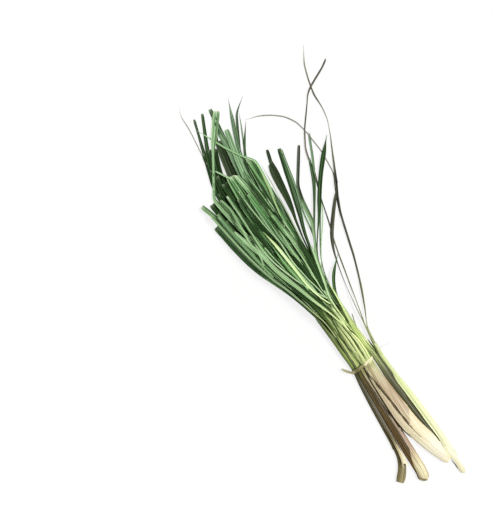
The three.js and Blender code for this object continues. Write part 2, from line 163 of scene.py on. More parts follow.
def rings_of(node: str, outward: tuple[float, float, float], around: int) -> Array:
    """The rings of points that a solid was skinned over, from one end to the other.

    Args:
        node: Name of the solid.
        outward: A direction in which the first ring is the solid's furthest place.
        around: Number of points in a ring.

    Returns:
        Points in metres, as (rings, around, 3).
    """
    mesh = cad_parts[node].data
    mesh.calc_loop_triangles()
    raw = np.array([v.co for v in mesh.vertices])
    _, first, weld = np.unique(np.round(raw, 6), axis=0, return_index=True, return_inverse=True)
    points = raw[first]
    triangles = weld.reshape(-1)[np.array([t.vertices for t in mesh.loop_triangles])]
    normals = unit(np.cross(points[triangles[:, 1]] - points[triangles[:, 0]],
                            points[triangles[:, 2]] - points[triangles[:, 0]]))
    furthest = int(np.argmax(points @ np.array(outward)))
    touching = np.flatnonzero((triangles == furthest).any(axis=1))
    cap = touching[np.argmax(normals[touching] @ np.array(outward))]
    ring = set(triangles[cap])
    grown = True
    while grown:
        near = (np.isin(triangles, list(ring)).sum(axis=1) >= 2) & (normals @ normals[cap] > LEVEL_END)
        wider = ring | set(triangles[near].reshape(-1))
        grown, ring = len(wider) > len(ring), wider
    seen, rings = set(), []
    while ring:
        if len(ring) != around:
            raise ValueError(f"{node}: a ring of {len(ring)} points, not {around}")
        seen |= ring
        rings.append(points[sorted(ring)])
        beside = triangles[np.isin(triangles, list(ring)).any(axis=1)]
        ring = set(beside.reshape(-1)) - seen
    return np.array(rings)


def tie_middle() -> Array:
    """The middle of the tie in the row frame, worked out from the thick stalk's cut end."""
    end = rings_of("thick_stalk", (-1, 0, 0), STALK_SIDES)[0].mean(axis=0)
    return np.array([end[0] - FIRST_STATION[0] * METRES, end[1] - FIRST_STATION[1] * METRES, 0.0])


TIE_MIDDLE = tie_middle()


def solid_rings(node: str, outward: tuple[float, float, float], around: int) -> Array:
    """The rings of a solid, as rings_of gives them, in millimetres from the middle of the tie."""
    return (rings_of(node, outward, around) - TIE_MIDDLE) / METRES


def sides_of(rings: Array) -> tuple[Array, Array]:
    """Measures rings from their middles.

    Args:
        rings: The rings of a solid.

    Returns:
        The middle of each ring, and how far each of its points is to the left of it.
    """
    middles = rings.mean(axis=1)
    left = level_left(np.gradient(middles, axis=0))
    return middles, np.einsum("rpk,rk->rp", rings - middles[:, None], left)


# ---- Meshes ----


@dataclass
class Skin:
    """Points of a mesh on a grid, with what its finish reads at each of them."""

    points: Array  # (stations, around, 3), in millimetres
    grain: Array  # (stations, around, 3): mm along from the tie, mm across, share of the half width
    growth: Array  # (stations, around, 3): tint of its sheath, tone, closeness to the cut

    def join(self, other: "Skin", axis: int) -> "Skin":
        """This grid and another one: end to end with axis 0, side by side with axis 1."""
        return Skin(*(np.concatenate(pair, axis=axis) for pair in (
            (self.points, other.points), (self.grain, other.grain), (self.growth, other.growth))))

    def back(self, lower: Array) -> "Skin":
        """The other side of a sheet, read from the right to the left, from its points."""
        return Skin(lower[:, ::-1], self.grain[:, ::-1], self.growth[:, ::-1])


def skin_over(points: Array, grain: tuple, growth: tuple) -> Skin:
    """Puts the two attributes on a grid of points.

    Args:
        points: The grid, as (stations, around, 3).
        grain: Place along, place across and share of the half width, as numbers or grids that widen to it.
        growth: Tint, tone and closeness to the cut, in the same way.

    Returns:
        The grid with both.
    """
    shape = points.shape[:2]
    return Skin(points, *(np.stack([np.broadcast_to(value, shape) for value in values], axis=-1)
                          for values in (grain, growth)))


def placed(name: str, data: bpy.types.ID) -> bpy.types.Object:
    """Puts a new object into the scene.

    Args:
        name: Its name.
        data: Its mesh, lamp or camera.

    Returns:
        The new object.
    """
    made = bpy.data.objects.new(name, data)
    bpy.context.scene.collection.objects.link(made)
    return made


def place_mesh(name: str, skin: Skin, faces: list) -> bpy.types.Object:
    """Makes a mesh object whose faces look outwards.

    Args:
        name: Name of the piece.
        skin: Its points and their attributes.
        faces: Lists of point numbers.

    Returns:
        The new object, in the scene and riding on the bunch.
    """
    at = skin.points.reshape(-1, 3) * METRES + TIE_MIDDLE
    a, b, c = (at[[face[k] for face in faces]] for k in range(3))
    if np.einsum("ij,ij->i", a, np.cross(b, c)).sum() < 0:
        faces = [face[::-1] for face in faces]
    mesh = bpy.data.meshes.new(name)
    mesh.from_pydata(at.tolist(), [], faces)
    for label, values in (("grain", skin.grain), ("growth", skin.growth)):
        layer = mesh.attributes.new(label, "FLOAT_VECTOR", "POINT")
        layer.data.foreach_set("vector", np.ascontiguousarray(values, np.float32).reshape(-1))
    mesh.shade_smooth()
    mesh.set_sharp_from_angle(angle=math.radians(SHARP))
    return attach(placed(name, mesh), BODY)


def dress(piece: bpy.types.Object, material: bpy.types.Material,
          node: str = "") -> bpy.types.Object:
    """Gives a piece its material, and hides the solid that it stands for.

    Args:
        piece: The piece.
        material: The finished material.
        node: The solid that it stands for, if there is one.

    Returns:
        The same piece.
    """
    piece.data.materials.append(material)
    if node:
        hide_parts(node)
    return piece


def tube_faces(stations: int, around: int) -> list:
    """Faces between rings of points, with a fan over each end.

    Args:
        stations: Number of rings.
        around: Number of points in each ring.

    Returns:
        Lists of point numbers.
    """
    i, j = np.meshgrid(np.arange(stations - 1), np.arange(around), indexing="ij")
    k = (j + 1) % around
    sides = np.stack([i * around + j, i * around + k, (i + 1) * around + k, (i + 1) * around + j], axis=-1)
    last = (stations - 1) * around
    ends = [list(range(around))[::-1], list(range(last, last + around))]
    return sides.reshape(-1, 4).tolist() + ends


def sheet_faces(stations: int, across: int) -> list:
    """Faces of a thin closed sheet: rings that hold its upper points and then its lower ones.

    Args:
        stations: Number of rings.
        across: Points from edge to edge on one side. The lower ones run back the other way.

    Returns:
        Lists of point numbers.
    """
    around = 2 * across
    faces = tube_faces(stations, around)[:-2]
    last = (stations - 1) * around
    for j in range(across - 1):
        below = around - 1 - j
        faces.append([j, j + 1, below - 1, below])
        faces.append([last + below, last + below - 1, last + j + 1, last + j])
    return faces


def sheet(name: str, upper: Skin, lower: Array) -> bpy.types.Object:
    """A thin closed sheet from its two sides.

    Args:
        name: Name of the piece.
        upper: Its upper side, from the left edge to the right one at each station.
        lower: Points of its lower side, the same way round.

    Returns:
        The new object.
    """
    both = upper.join(upper.back(lower), axis=1)
    stations, around = both.points.shape[:2]
    return place_mesh(name, both, sheet_faces(stations, around // 2))


def tube(name: str, skin: Skin) -> bpy.types.Object:
    """A closed tube from a grid of rings."""
    return place_mesh(name, skin, tube_faces(*skin.points.shape[:2]))


# ---- Finishes ----


def linear(hexcode: str) -> tuple[float, float, float, float]:
    """Turns an sRGB hex colour into linear light.

    Args:
        hexcode: Such as "#8a9b74".

    Returns:
        Red, green, blue and an alpha of one.
    """
    parts = [int(hexcode[i:i + 2], 16) / 255 for i in (1, 3, 5)]
    red, green, blue = (p / 12.92 if p <= 0.04045 else ((p + 0.055) / 1.055) ** 2.4 for p in parts)
    return red, green, blue, 1.0


def add_node(tree: bpy.types.NodeTree, kind: str, feeds: dict | None = None, stops: Stops = (),
             **settings: object) -> bpy.types.Node:
    """Adds one node with its settings and links.

    Args:
        tree: Node tree that it goes into.
        kind: Blender's name of the node type, without its ShaderNode start.
        feeds: What each input takes, by its name or number: a number, a hex colour or a node's output.
        stops: Places and hex colours of a colour ramp.
        **settings: Other properties of the node.

    Returns:
        The new node.
    """
    made = tree.nodes.new("ShaderNode" + kind)
    for name, value in settings.items():
        setattr(made, name, value)
    for index, (place, hexcode) in enumerate(stops):
        elements = made.color_ramp.elements
        element = elements[index] if index < 2 and len(stops) > 1 else elements.new(place)
        element.position, element.color = place, linear(hexcode)
    for name, value in (feeds or {}).items():
        socket = made.inputs[name]
        if isinstance(value, bpy.types.NodeSocket):
            tree.links.new(value, socket)
        else:
            socket.default_value = linear(value) if isinstance(value, str) else value
    return made


def bare_tree(owner: bpy.types.Material | bpy.types.World) -> bpy.types.NodeTree:
    """Empties a node tree.

    Args:
        owner: A material or sky.

    Returns:
        Its tree, with no nodes.
    """
    owner.use_nodes = True
    owner.node_tree.nodes.clear()
    return owner.node_tree


class Fibre:
    """A node tree for a plant surface, which reads the grain and growth of its mesh."""

    def __init__(self, name: str) -> None:
        """Starts the material and the inputs that every plant surface uses.

        Args:
            name: Name of the material.
        """
        self.material = bpy.data.materials.new(name)
        self.tree = bare_tree(self.material)
        grain = self.add("Attribute", attribute_name="grain").outputs["Vector"]
        growth = self.add("Attribute", attribute_name="growth").outputs["Vector"]
        self.run, self.span, self.across = self.add("SeparateXYZ", {0: grain}).outputs
        self.tint, self.tone, self.cut = self.add("SeparateXYZ", {0: growth}).outputs
        self.place = self.add("TexCoord").outputs["Object"]

    def add(self, kind: str, feeds: dict | None = None, stops: Stops = (),
            **settings: object) -> bpy.types.Node:
        """Adds one node to this surface, as add_node does."""
        return add_node(self.tree, kind, feeds, stops, **settings)

    def sum(self, operation: str, *values: object) -> bpy.types.NodeSocket:
        """The result of one Math operation on up to three numbers."""
        return self.add("Math", dict(enumerate(values)), operation=operation).outputs[0]

    def between(self, value: object, low: float, high: float, share: float = 1.0) -> bpy.types.NodeSocket:
        """How far a value is from low to high, eased, from 0 to a share."""
        feeds = {"Value": value, "From Min": low, "From Max": high, "To Max": share}
        return self.add("MapRange", feeds, interpolation_type="SMOOTHSTEP").outputs["Result"]

    def blend(self, share: object, first: object, second: object, how: str = "MIX") -> bpy.types.NodeSocket:
        """Mixes a second colour into a first one.

        Args:
            share: How much of the second, from 0 to 1.
            first: Hex colour or colour output.
            second: Hex colour or colour output.
            how: Blender's name of the way of mixing.

        Returns:
            The mixed colour.
        """
        mixer = self.add("Mix", {"Factor": share}, data_type="RGBA", blend_type=how)
        for socket, colour in ((mixer.inputs[6], first), (mixer.inputs[7], second)):
            if isinstance(colour, bpy.types.NodeSocket):
                self.tree.links.new(colour, socket)
            else:
                socket.default_value = linear(colour)
        return mixer.outputs[2]

    def layers(self, colour: object, *rows: tuple) -> bpy.types.NodeSocket:
        """Lays colours over a first one.

        Args:
            colour: The first colour.
            *rows: For each: its pattern, the values where it starts and is full, its share and its colour.

        Returns:
            The mixed colour.
        """
        for pattern, low, high, share, over in rows:
            colour = self.blend(self.between(pattern, low, high, share), colour, over)
        return colour

    def streaks(self, length: float, width: float, seed: float) -> bpy.types.NodeSocket:
        """Noise drawn out along the grain, about 0.2 to 0.8.

        Args:
            length: Length of a streak in millimetres.
            width: Width of a streak in millimetres.
            seed: Moves the pattern, so that two layers differ.

        Returns:
            The noise.
        """
        run = self.sum("DIVIDE", self.run, length)
        span = self.sum("DIVIDE", self.span, width)
        shift = self.sum("MULTIPLY_ADD", self.tone, 37.0, seed)
        where = self.add("CombineXYZ", {0: run, 1: span, 2: shift}).outputs[0]
        return self.add("TexNoise", {"Vector": where, "Scale": 1.0, "Detail": 2.0}).outputs["Fac"]

    def veins(self, spacing: float) -> bpy.types.NodeSocket:
        """Even lines along the grain, 0 between two veins and 1 on each."""
        phase = self.sum("MULTIPLY", self.span, 2 * math.pi / spacing)
        return self.sum("MULTIPLY_ADD", self.sum("COSINE", phase), 0.5, 0.5)

    def patches(self, size: float, seed: float) -> bpy.types.NodeSocket:
        """Soft cloudy noise over the whole bunch.

        Args:
            size: Width of the clouds in millimetres.
            seed: Which clouds.

        Returns:
            The noise, about 0 to 1.
        """
        moved = self.add("VectorMath", {0: self.place, 1: (seed, seed, seed)}, operation="ADD").outputs[0]
        scale = 1 / (size * METRES)
        return self.add("TexNoise", {"Vector": moved, "Scale": scale, "Detail": 3.0}).outputs["Fac"]

    def ramp(self, stops: Stops, waver: object, reach: float) -> bpy.types.NodeSocket:
        """Colours along the bunch.

        Args:
            stops: Rising places in millimetres from the tie, each with its colour.
            waver: Noise that moves the colours to and fro.
            reach: How far the noise moves them, in millimetres.

        Returns:
            The colour.
        """
        first, last = stops[0][0], stops[-1][0]
        moved = self.sum("MULTIPLY_ADD", self.sum("SUBTRACT", waver, 0.5), 2 * reach, self.run)
        share = self.add("MapRange", {"Value": moved, "From Min": first, "From Max": last}).outputs["Result"]
        shares = tuple(((place - first) / (last - first), colour) for place, colour in stops)
        return self.add("ValToRGB", {0: share}, shares).outputs[0]

    def finish(self, colour: object, roughness: object, height: object, relief: float,
               ior: float, bloom: float = 0.0, glow: float = 0.0) -> bpy.types.Material:
        """Ends the tree in one plant shader.

        Args:
            colour: Base colour.
            roughness: Roughness, a number or an output.
            height: Output that the bump follows.
            relief: Height of the bump in millimetres.
            ior: Refractive index.
            bloom: Weight of the waxy bloom.
            glow: How much light scatters inside.

        Returns:
            The finished material.
        """
        bump = self.add("Bump", {"Height": height, "Distance": relief * METRES, "Strength": 1.0})
        shader = self.add("BsdfPrincipled", {
            "Base Color": colour, "Roughness": roughness, "IOR": ior, "Normal": bump.outputs[0],
            "Sheen Weight": bloom, "Sheen Roughness": 0.45, "Subsurface Weight": glow,
            "Subsurface Radius": (0.9, 0.8, 0.35), "Subsurface Scale": 1.2 * METRES})
        self.add("OutputMaterial", {"Surface": shader.outputs[0]})
        return self.material


@dataclass(frozen=True)
class LivingBlade:
    """A fresh lemongrass leaf: waxy skin over close parallel veins, cut by a knife at its tip.

    The wax gives the eye a soft grey-green shine, the veins fine light and dark lines along the leaf,
    and the keel a pale line down the middle. Its lower part, the sheath, is paler and rolled round the stalk.
    """

    name: str
    colours: Stops  # along the blade, by millimetres from the tie
    vein: str  # between two veins
    light: str  # of the lightest streaks
    keel: str  # of the midrib
    margin: str  # of the two edges
    contrast: float = 0.75
    shine: float = 0.46  # roughness
    pale_sheath: str = "#f0fcae"
    dark_sheath: str = "#66733a"
    sheath_light: str = "#a3bd5c"
    sheath_vein: str = "#6a8232"
    sheath_edge: str = "#56692a"
    fresh_cut: str = "#d9eac2"

    def make(self) -> bpy.types.Material:
        """Builds the material.

        Returns:
            The finished material.
        """
        f = Fibre(self.name)
        fine = f.streaks(110, 0.9, 1.0)
        broad = f.streaks(70, 2.3, 9.0)
        # Large veins are about 0.6 mm apart. They are drawn 2.1 mm apart, or they would not show.
        lines = f.veins(2.1)
        off_middle = f.sum("ABSOLUTE", f.across)
        colour = f.layers(
            f.ramp(self.colours, f.patches(18, 3.0), 14),
            (broad, 0.5, 0.66, self.contrast, self.vein), (fine, 0.5, 0.62, self.contrast, self.light),
            (fine, 0.44, 0.34, self.contrast, self.vein), (lines, 0.55, 0.05, 0.5, self.vein),
            (off_middle, 0.14, 0.08, 0.75, self.keel), (off_middle, 0.84, 0.92, 0.75, self.margin))
        sheath = f.layers(
            f.blend(f.tint, self.pale_sheath, self.dark_sheath),
            (broad, 0.48, 0.6, 0.6, self.sheath_light), (fine, 0.54, 0.6, 0.6, self.sheath_vein),
            (off_middle, 0.86, 0.95, 0.85, self.sheath_edge))
        rolled = f.sum("MULTIPLY_ADD", f.sum("SUBTRACT", broad, 0.5), 50.0, f.run)
        colour = f.blend(f.between(rolled, 84, 28), colour, sheath)
        colour = f.blend(f.cut, colour, self.fresh_cut)
        bright = f.sum("MULTIPLY_ADD", f.tone, 0.7, 0.65)
        colour = f.add("HueSaturation", {"Color": colour, "Value": bright}).outputs[0]
        rough = f.sum("MULTIPLY_ADD", fine, 0.22, self.shine - 0.11)
        height = f.sum("ADD", f.sum("MULTIPLY", lines, 0.7), fine)
        return f.finish(colour, rough, height, 0.16, 1.36, bloom=0.03)


@dataclass(frozen=True)
class StalkSheath:
    """The sheaths of a lemongrass stalk: smooth moist leaf bases with fine ribs, washed and wiped.

    They give the eye a soft satin shine, long pale and tinted streaks, thin rib lines, dark dried margins,
    and a cut end with the layers as rings.
    """

    name: str
    colours: Stops  # from the cut end to the leaves, by millimetres from the tie
    flush: str  # tint of the drier streaks
    rib: str  # shade between two ribs
    flush_share: float = 0.4
    rib_share: float = 0.25
    margin: str = "#6f5c38"  # of a sheath's dried edge
    face: str = "#e9dfbd"  # of the cut
    layer: str = "#b59a77"  # lines between the layers on the cut

    def make(self) -> bpy.types.Material:
        """Builds the material.

        Returns:
            The finished material.
        """
        f = Fibre(self.name)
        fine = f.streaks(80, 1.0, 2.0)
        broad = f.streaks(90, 3.0, 7.0)
        # Ribs are about 0.5 mm apart. They are drawn 2.1 mm apart, or they would not show.
        ribs = f.veins(2.1)
        colour = f.layers(
            f.ramp(self.colours, f.streaks(30, 2.6, 4.0), 16),
            (broad, 0.46, 0.64, self.flush_share, self.flush), (fine, 0.5, 0.62, self.rib_share, self.rib),
            (ribs, 0.6, 0.0, self.rib_share * 0.8, self.rib))
        edge = f.between(f.sum("ABSOLUTE", f.across), 0.92, 0.97)
        colour = f.blend(f.sum("MULTIPLY", edge, f.sum("SUBTRACT", 0.85, f.cut)), colour, self.margin)
        colour = f.layers(colour, (f.patches(2.6, 5.0), 0.64, 0.72, 0.3, self.flush))
        rings = f.sum("MULTIPLY_ADD", f.sum("COSINE", f.sum("MULTIPLY", f.across, 34.0)), 0.5, 0.5)
        face = f.layers(self.face, (rings, 0.55, 1.0, 0.6, self.layer))
        colour = f.blend(f.cut, colour, face)
        bright = f.sum("MULTIPLY_ADD", f.tone, 0.3, 0.85)
        colour = f.add("HueSaturation", {"Color": colour, "Value": bright}).outputs[0]
        rough = f.sum("MULTIPLY_ADD", fine, 0.2, 0.34)
        height = f.sum("ADD", f.sum("MULTIPLY", ribs, 0.6), fine)
        return f.finish(colour, rough, height, 0.12, 1.44, glow=0.06)


@dataclass(frozen=True)
class DryLeafSkin:
    """A leaf dried on the plant: papery, brittle and faded, with its veins standing out.

    It gives the eye a dull straw and grey-brown strip with dark creases and no shine.
    """

    name: str
    colours: Stops  # from the root to the tip, by millimetres from the tie
    crease: str
    light: str

    def make(self) -> bpy.types.Material:
        """Builds the material.

        Returns:
            The finished material.
        """
        f = Fibre(self.name)
        fine = f.streaks(22, 0.5, 3.0)
        colour = f.layers(
            f.ramp(self.colours, f.patches(9, 8.0), 9),
            (fine, 0.5, 0.62, 0.5, self.crease), (fine, 0.46, 0.34, 0.45, self.light))
        colour = f.layers(colour, (f.patches(3.2, 1.0), 0.6, 0.72, 0.5, self.crease))
        rough = f.sum("MULTIPLY_ADD", fine, 0.2, 0.6)
        return f.finish(colour, rough, fine, 0.2, 1.5)


Finish = LivingBlade | StalkSheath | DryLeafSkin
Skins = dict[Finish, bpy.types.Material]


# ---- Stalks ----


def pinch(x: Array) -> Array:
    """How far layers of leaf stand off each other: the tie presses them together."""
    return 0.3 + 0.7 * ease(np.abs(x) / 16)


def seed_of(name: str) -> int:
    """A number for the random shapes of the piece with this name."""
    return sum(map(ord, name))


class Course:
    """The way and girth of one stalk, read back from its solid."""

    THINNEST = 0.35  # least radius of the solid, beyond whose end it is drawn on
    STEP = 0.5  # millimetres ahead to where its direction is read

    def __init__(self, node: str, outlook: tuple[float, float, float]) -> None:
        """Reads the stalk.

        Args:
            node: Name of the stalk's solid.
            outlook: The way that its cut end looks.
        """
        rings = solid_rings(node, outlook, STALK_SIDES)
        middles, sideways = sides_of(rings)
        heights = rings[:, :, 2] - middles[:, None, 2]
        self.x = middles[:, 0]
        wide, high = (np.abs(off).max(axis=1) for off in (sideways, heights))
        self.table = np.column_stack([middles[:, 1:], wide, high])

    @property
    def start(self) -> float:
        """Where the stalk's cut end is."""
        return float(self.x[0])

    @property
    def end(self) -> float:
        """Where the stalk's solid ends among the leaves."""
        return float(self.x[-1])

    def surface(self, x: Array, turn: Array, out: Array | float = 0.0, share: Array | float = 1.0) -> Array:
        """Points on or off the stalk's surface.

        Args:
            x: Place along the stalk.
            turn: Angle round it in radians: 0 is left, and a quarter turn is up.
            out: Distance off the surface in millimetres.
            share: Share of the stalk's girth, less than one for a place inside it.

        Returns:
            Points in the shape of x with three coordinates each.
        """
        x, turn, out, share = np.broadcast_arrays(*(np.asarray(v, float) for v in (x, turn, out, share)))
        flat = x.reshape(-1)
        read = follow(self.x, self.table, flat)
        read[:, 2:] = np.maximum(read[:, 2:], self.THINNEST)
        slope = (follow(self.x, self.table[:, :2], flat + self.STEP) - read[:, :2]) / self.STEP
        along = unit(np.column_stack([np.ones(len(flat)), slope]))
        left = level_left(along)
        up = np.cross(along, left)
        angle = turn.reshape(-1)
        radii = np.maximum(read[:, 2:] * share.reshape(-1, 1) + out.reshape(-1, 1), 0.05)
        found = (np.column_stack([flat, read[:, :2]]) + left * (radii[:, :1] * np.cos(angle)[:, None])
                 + up * (radii[:, 1:] * np.sin(angle)[:, None]))
        return found.reshape(x.shape + (3,))

    def girth(self, x: Array) -> Array:
        """Mean radius of the stalk at each place."""
        return np.maximum(follow(self.x, self.table[:, 2:], x.reshape(-1)), self.THINNEST).mean(axis=1)

    def middle(self, x: float) -> Array:
        """Sideways place and height of the middle, and half the width and height there."""
        return follow(self.x, self.table, np.array([float(x)]))[0]


@dataclass
class Wrap:
    """An outer sheath that wraps part of the way round a stalk, over the layers beneath."""

    label: str
    finish: Finish
    span: tuple[float, float]  # degrees round the stalk, 0 left, 90 up and 180 right
    mouth: Way  # share across the sheath, and where its lower margin is there
    end: float
    lift: float = 0.35  # how far it stands off the stalk
    drift: float = 0.0  # degrees that its first edge turns by along its length
    drift_far: float = 0.0  # the same for its other edge
    curl: float = 0.45  # how far its edges stand off
    ragged: float = 2.2  # depth of the tears in its lower margin
    tone: float = 0.5
    seed: int = 1


@dataclass
class Stalk:
    """One stalk: its core with a cut end, and the sheaths round it."""

    SIDES = 72
    STEP = 1.6  # millimetres between two rings of the core
    END, END_RINGS = 6.0, 9  # length next to the cut with closer rings, and how many
    CLOSING = 14.0  # how far before the end of its solid the core starts to draw in
    RING_HEIGHT, RING_STEP = 0.22, 2.6  # of root rings
    RIPPLE = 0.14  # height of the ribs
    INSET = 0.3  # how far the core stays inside the solid's surface
    # Rings of the cut end: share of the way out, and share of the hollow's depth.
    LAYERS = way("0.04,0.7 0.16,0.8 0.3,0.95 0.34,0.7 0.5,0.9 0.54,0.55 0.68,0.75 0.72,0.4 0.84,0.5 "
                 "0.88,0.1 0.96,-0.1")
    WRAP_GRID = (40, 110)  # points across and along an outer sheath

    node: str
    slot: str
    finish: Finish
    wraps: list[Wrap]
    tint: float = 0.0  # how dark the sheaths above the tie are
    tied: bool = True
    beyond: float = 20.0  # how far the rolled inner leaf goes on past the solid
    hollow: float = 0.8  # depth of the cut's hollow
    rings: tuple[float, float] = (0.0, 0.0)  # places along the stalk between which it has root rings
    tone: float = 0.5
    outlook: tuple[float, float, float] = (-1.0, 0.0, 0.0)  # the way that the cut end looks

    def __post_init__(self) -> None:
        """Reads the stalk's course."""
        self.course = Course(self.node, self.outlook)

    def core(self) -> bpy.types.Object:
        """Builds the core as one tube that is closed by its cut end.

        Returns:
            The new object.
        """
        low, high = self.course.start, self.course.end + self.beyond
        near = np.linspace(low, low + self.END, self.END_RINGS)[:-1]
        places = np.concatenate([near, np.arange(low + self.END, high, self.STEP), [high]])
        x, turn = np.meshgrid(places, np.linspace(0, 2 * math.pi, self.SIDES, endpoint=False), indexing="ij")
        shrink = 1 - 0.86 * ease((x - self.course.end + self.CLOSING) / (self.beyond + self.CLOSING))
        ribs = self.RIPPLE * (np.cos(11 * turn + wander(3, x, 160))
                              + 0.6 * np.cos(5 * turn + wander(4, x, 110)))
        scar = (x > self.rings[0]) & (x < self.rings[1])
        ribs = ribs + np.where(scar, self.RING_HEIGHT * np.cos(2 * math.pi * x / self.RING_STEP), 0.0)
        points = self.course.surface(x, turn, ribs - self.INSET, shrink)
        radius = self.course.girth(places)[:, None]
        length = skin_over(points, (x, turn * radius, 0), (self.tint, self.tone, 0))
        return tube(self.node + "_core", self.cut_face(points[0], low).join(length, axis=0))

    def cut_face(self, rim: Array, low: float) -> Skin:
        """The cut end: layers as low rings round a shallow hollow.

        Args:
            rim: The first ring of the stalk's surface.
            low: Where the cut is along the stalk.

        Returns:
            Rings from the middle out to the rim.
        """
        middle = rim.mean(axis=0)
        inward = self.course.surface(low + 4.0, 0.0, 0, 0) - self.course.surface(low, 0.0, 0, 0)
        inward = inward / np.linalg.norm(inward)
        shares, steps = np.array(self.LAYERS).T
        steps = steps * self.hollow
        points = middle + (rim - middle) * shares[:, None, None] + inward * steps[:, None, None]
        return skin_over(points, (low, shares[:, None] * 6, shares[:, None]), (self.tint, self.tone, 1))

    def wrap(self, wrap: Wrap) -> bpy.types.Object:
        """Builds one outer sheath as a thin closed shell.

        Args:
            wrap: The sheath.

        Returns:
            The new object.
        """
        columns, rows = self.WRAP_GRID
        places, margins = zip(*wrap.mouth)
        rng = np.random.default_rng(wrap.seed)
        torn = np.convolve(rng.uniform(-1, 1, columns + 4), np.ones(5) / 5, "valid") * wrap.ragged
        u, v = np.meshgrid(np.linspace(0, 1, columns), np.linspace(0, 1, rows) ** 1.15, indexing="xy")
        foot = np.interp(u[0], places, margins) + torn * np.sin(math.pi * u[0])
        x = foot[None, :] * (1 - v) + wrap.end * v
        first = wrap.span[0] + wrap.drift * v + 3 * wander(wrap.seed, x, 90)
        last = wrap.span[1] + wrap.drift_far * v + 3 * wander(wrap.seed + 9, x, 80)
        turn = np.radians(first + (last - first) * u)
        rim = 1 - ease(np.minimum(u, 1 - u) / 0.07)
        edge = wrap.curl * rim * (0.6 + 0.4 * wander(wrap.seed + 5, x, 55))
        mouth_edge = 0.25 * (1 - ease(v / 0.04))
        shrink = 1 - 0.5 * ease((x - self.course.end) / 30)
        ribs = self.RIPPLE * np.cos(13 * turn + wander(6, x, 130))
        off = (wrap.lift + edge + mouth_edge) * pinch(x) + ribs
        top, low = (self.course.surface(x, turn, out, shrink) for out in (off, off - THICKNESS))
        radius = self.course.girth(x).reshape(x.shape)
        skin = skin_over(top, (x, turn * radius, u * 2 - 1), (self.tint, wrap.tone, 0))
        return sheet(f"{self.node}_{wrap.label}", skin, low)

    def build(self, skins: Skins) -> list[bpy.types.Object]:
        """Builds and dresses the stalk.

        Args:
            skins: The finished materials by their finish.

        Returns:
            Its pieces.
        """
        core = dress(self.core(), skins[self.finish], self.node)
        return [core] + [dress(self.wrap(w), skins[w.finish]) for w in self.wraps]


# ---- Leaves ----


def soften(rows: Array, reach: int) -> Array:
    """Rounds the corners of a line of points, whose two ends stay where they are.

    Args:
        rows: Points at even steps.
        reach: Number of steps on each side that are averaged.

    Returns:
        The rounded line.
    """
    weights = np.hanning(2 * reach + 3)[1:-1]
    weights /= weights.sum()
    before = 2 * rows[:1] - rows[reach:0:-1]
    after = 2 * rows[-1:] - rows[-2:-reach - 2:-1]
    padded = np.concatenate([before, rows, after])
    return np.stack([np.convolve(padded[:, k], weights, "valid") for k in range(rows.shape[1])], axis=1)


class Pile:
    """How high the leaves reach at each place, as a map with square cells."""

    CELL = 1.5  # millimetres
    LOW = (-160.0, -150.0)
    SHAPE = (340, 180)

    def __init__(self) -> None:
        """Starts with the bare surface."""
        self.tops = np.zeros(self.SHAPE)

    def cells(self, points: Array) -> tuple[Array, Array]:
        """The cells that points are in."""
        found = ((points[..., :2] - np.array(self.LOW)) / self.CELL).astype(int)
        return found[..., 0].clip(1, self.SHAPE[0] - 2), found[..., 1].clip(1, self.SHAPE[1] - 2)

    def cover(self, points: Array) -> None:
        """Notes the heights of a piece's points."""
        i, j = self.cells(points)
        np.maximum.at(self.tops, (i, j), points[..., 2])

    def top(self, points: Array) -> Array:
        """How high the pile is near points.

        Args:
            points: Places in millimetres.

        Returns:
            The greatest height in the nine cells round each.
        """
        i, j = self.cells(points)
        near = [self.tops[i + a, j + b] for a in (-1, 0, 1) for b in (-1, 0, 1)]
        return np.max(near, axis=0)


class Mound:
    """The heap of leaves as one rounded height map, on to which loose blades sink under their weight."""

    FREE = 2.0  # millimetres over the heap that stay as they are
    SPRING = 0.35  # share of the rest that stays
    FILL = 2  # cells on each side that a dip is filled from
    ROUND = 9  # cells over which the heights are averaged

    def __init__(self, pile: Pile) -> None:
        """Fills the narrow dips between the leaves and rounds the rest.

        Args:
            pile: The heights of the leaves.
        """
        long, wide = pile.tops.shape
        padded = np.pad(pile.tops, self.FILL)
        steps = range(2 * self.FILL + 1)
        tops = np.max([padded[a:a + long, b:b + wide] for a in steps for b in steps], axis=0)
        weights = np.hanning(self.ROUND)[1:-1]
        for axis in (0, 1):
            tops = np.apply_along_axis(np.convolve, axis, tops, weights / weights.sum(), "same")
        self.tops = tops

    def settle(self, piece: bpy.types.Object) -> None:
        """Lets a piece down towards the heap. What lies over another piece stays over it.

        Args:
            piece: A leaf or strand, whose points are changed.
        """
        points = np.array([v.co for v in piece.data.vertices])
        at = (points - TIE_MIDDLE) / METRES
        cell = (at[:, :2] - np.array(Pile.LOW)) / Pile.CELL - 0.5
        low = np.floor(cell).astype(int).clip(0, np.array(self.tops.shape) - 2)
        share = np.clip(cell - low, 0, 1)
        heap = sum(self.tops[low[:, 0] + a, low[:, 1] + b]
                   * (share[:, 0] if a else 1 - share[:, 0]) * (share[:, 1] if b else 1 - share[:, 1])
                   for a in (0, 1) for b in (0, 1))
        loose = np.maximum(0, at[:, 2] - heap - self.FREE)
        points[:, 2] -= (1 - self.SPRING) * loose**2 / (loose + 1) * METRES
        piece.data.vertices.foreach_set("co", points.reshape(-1))
        piece.data.update()


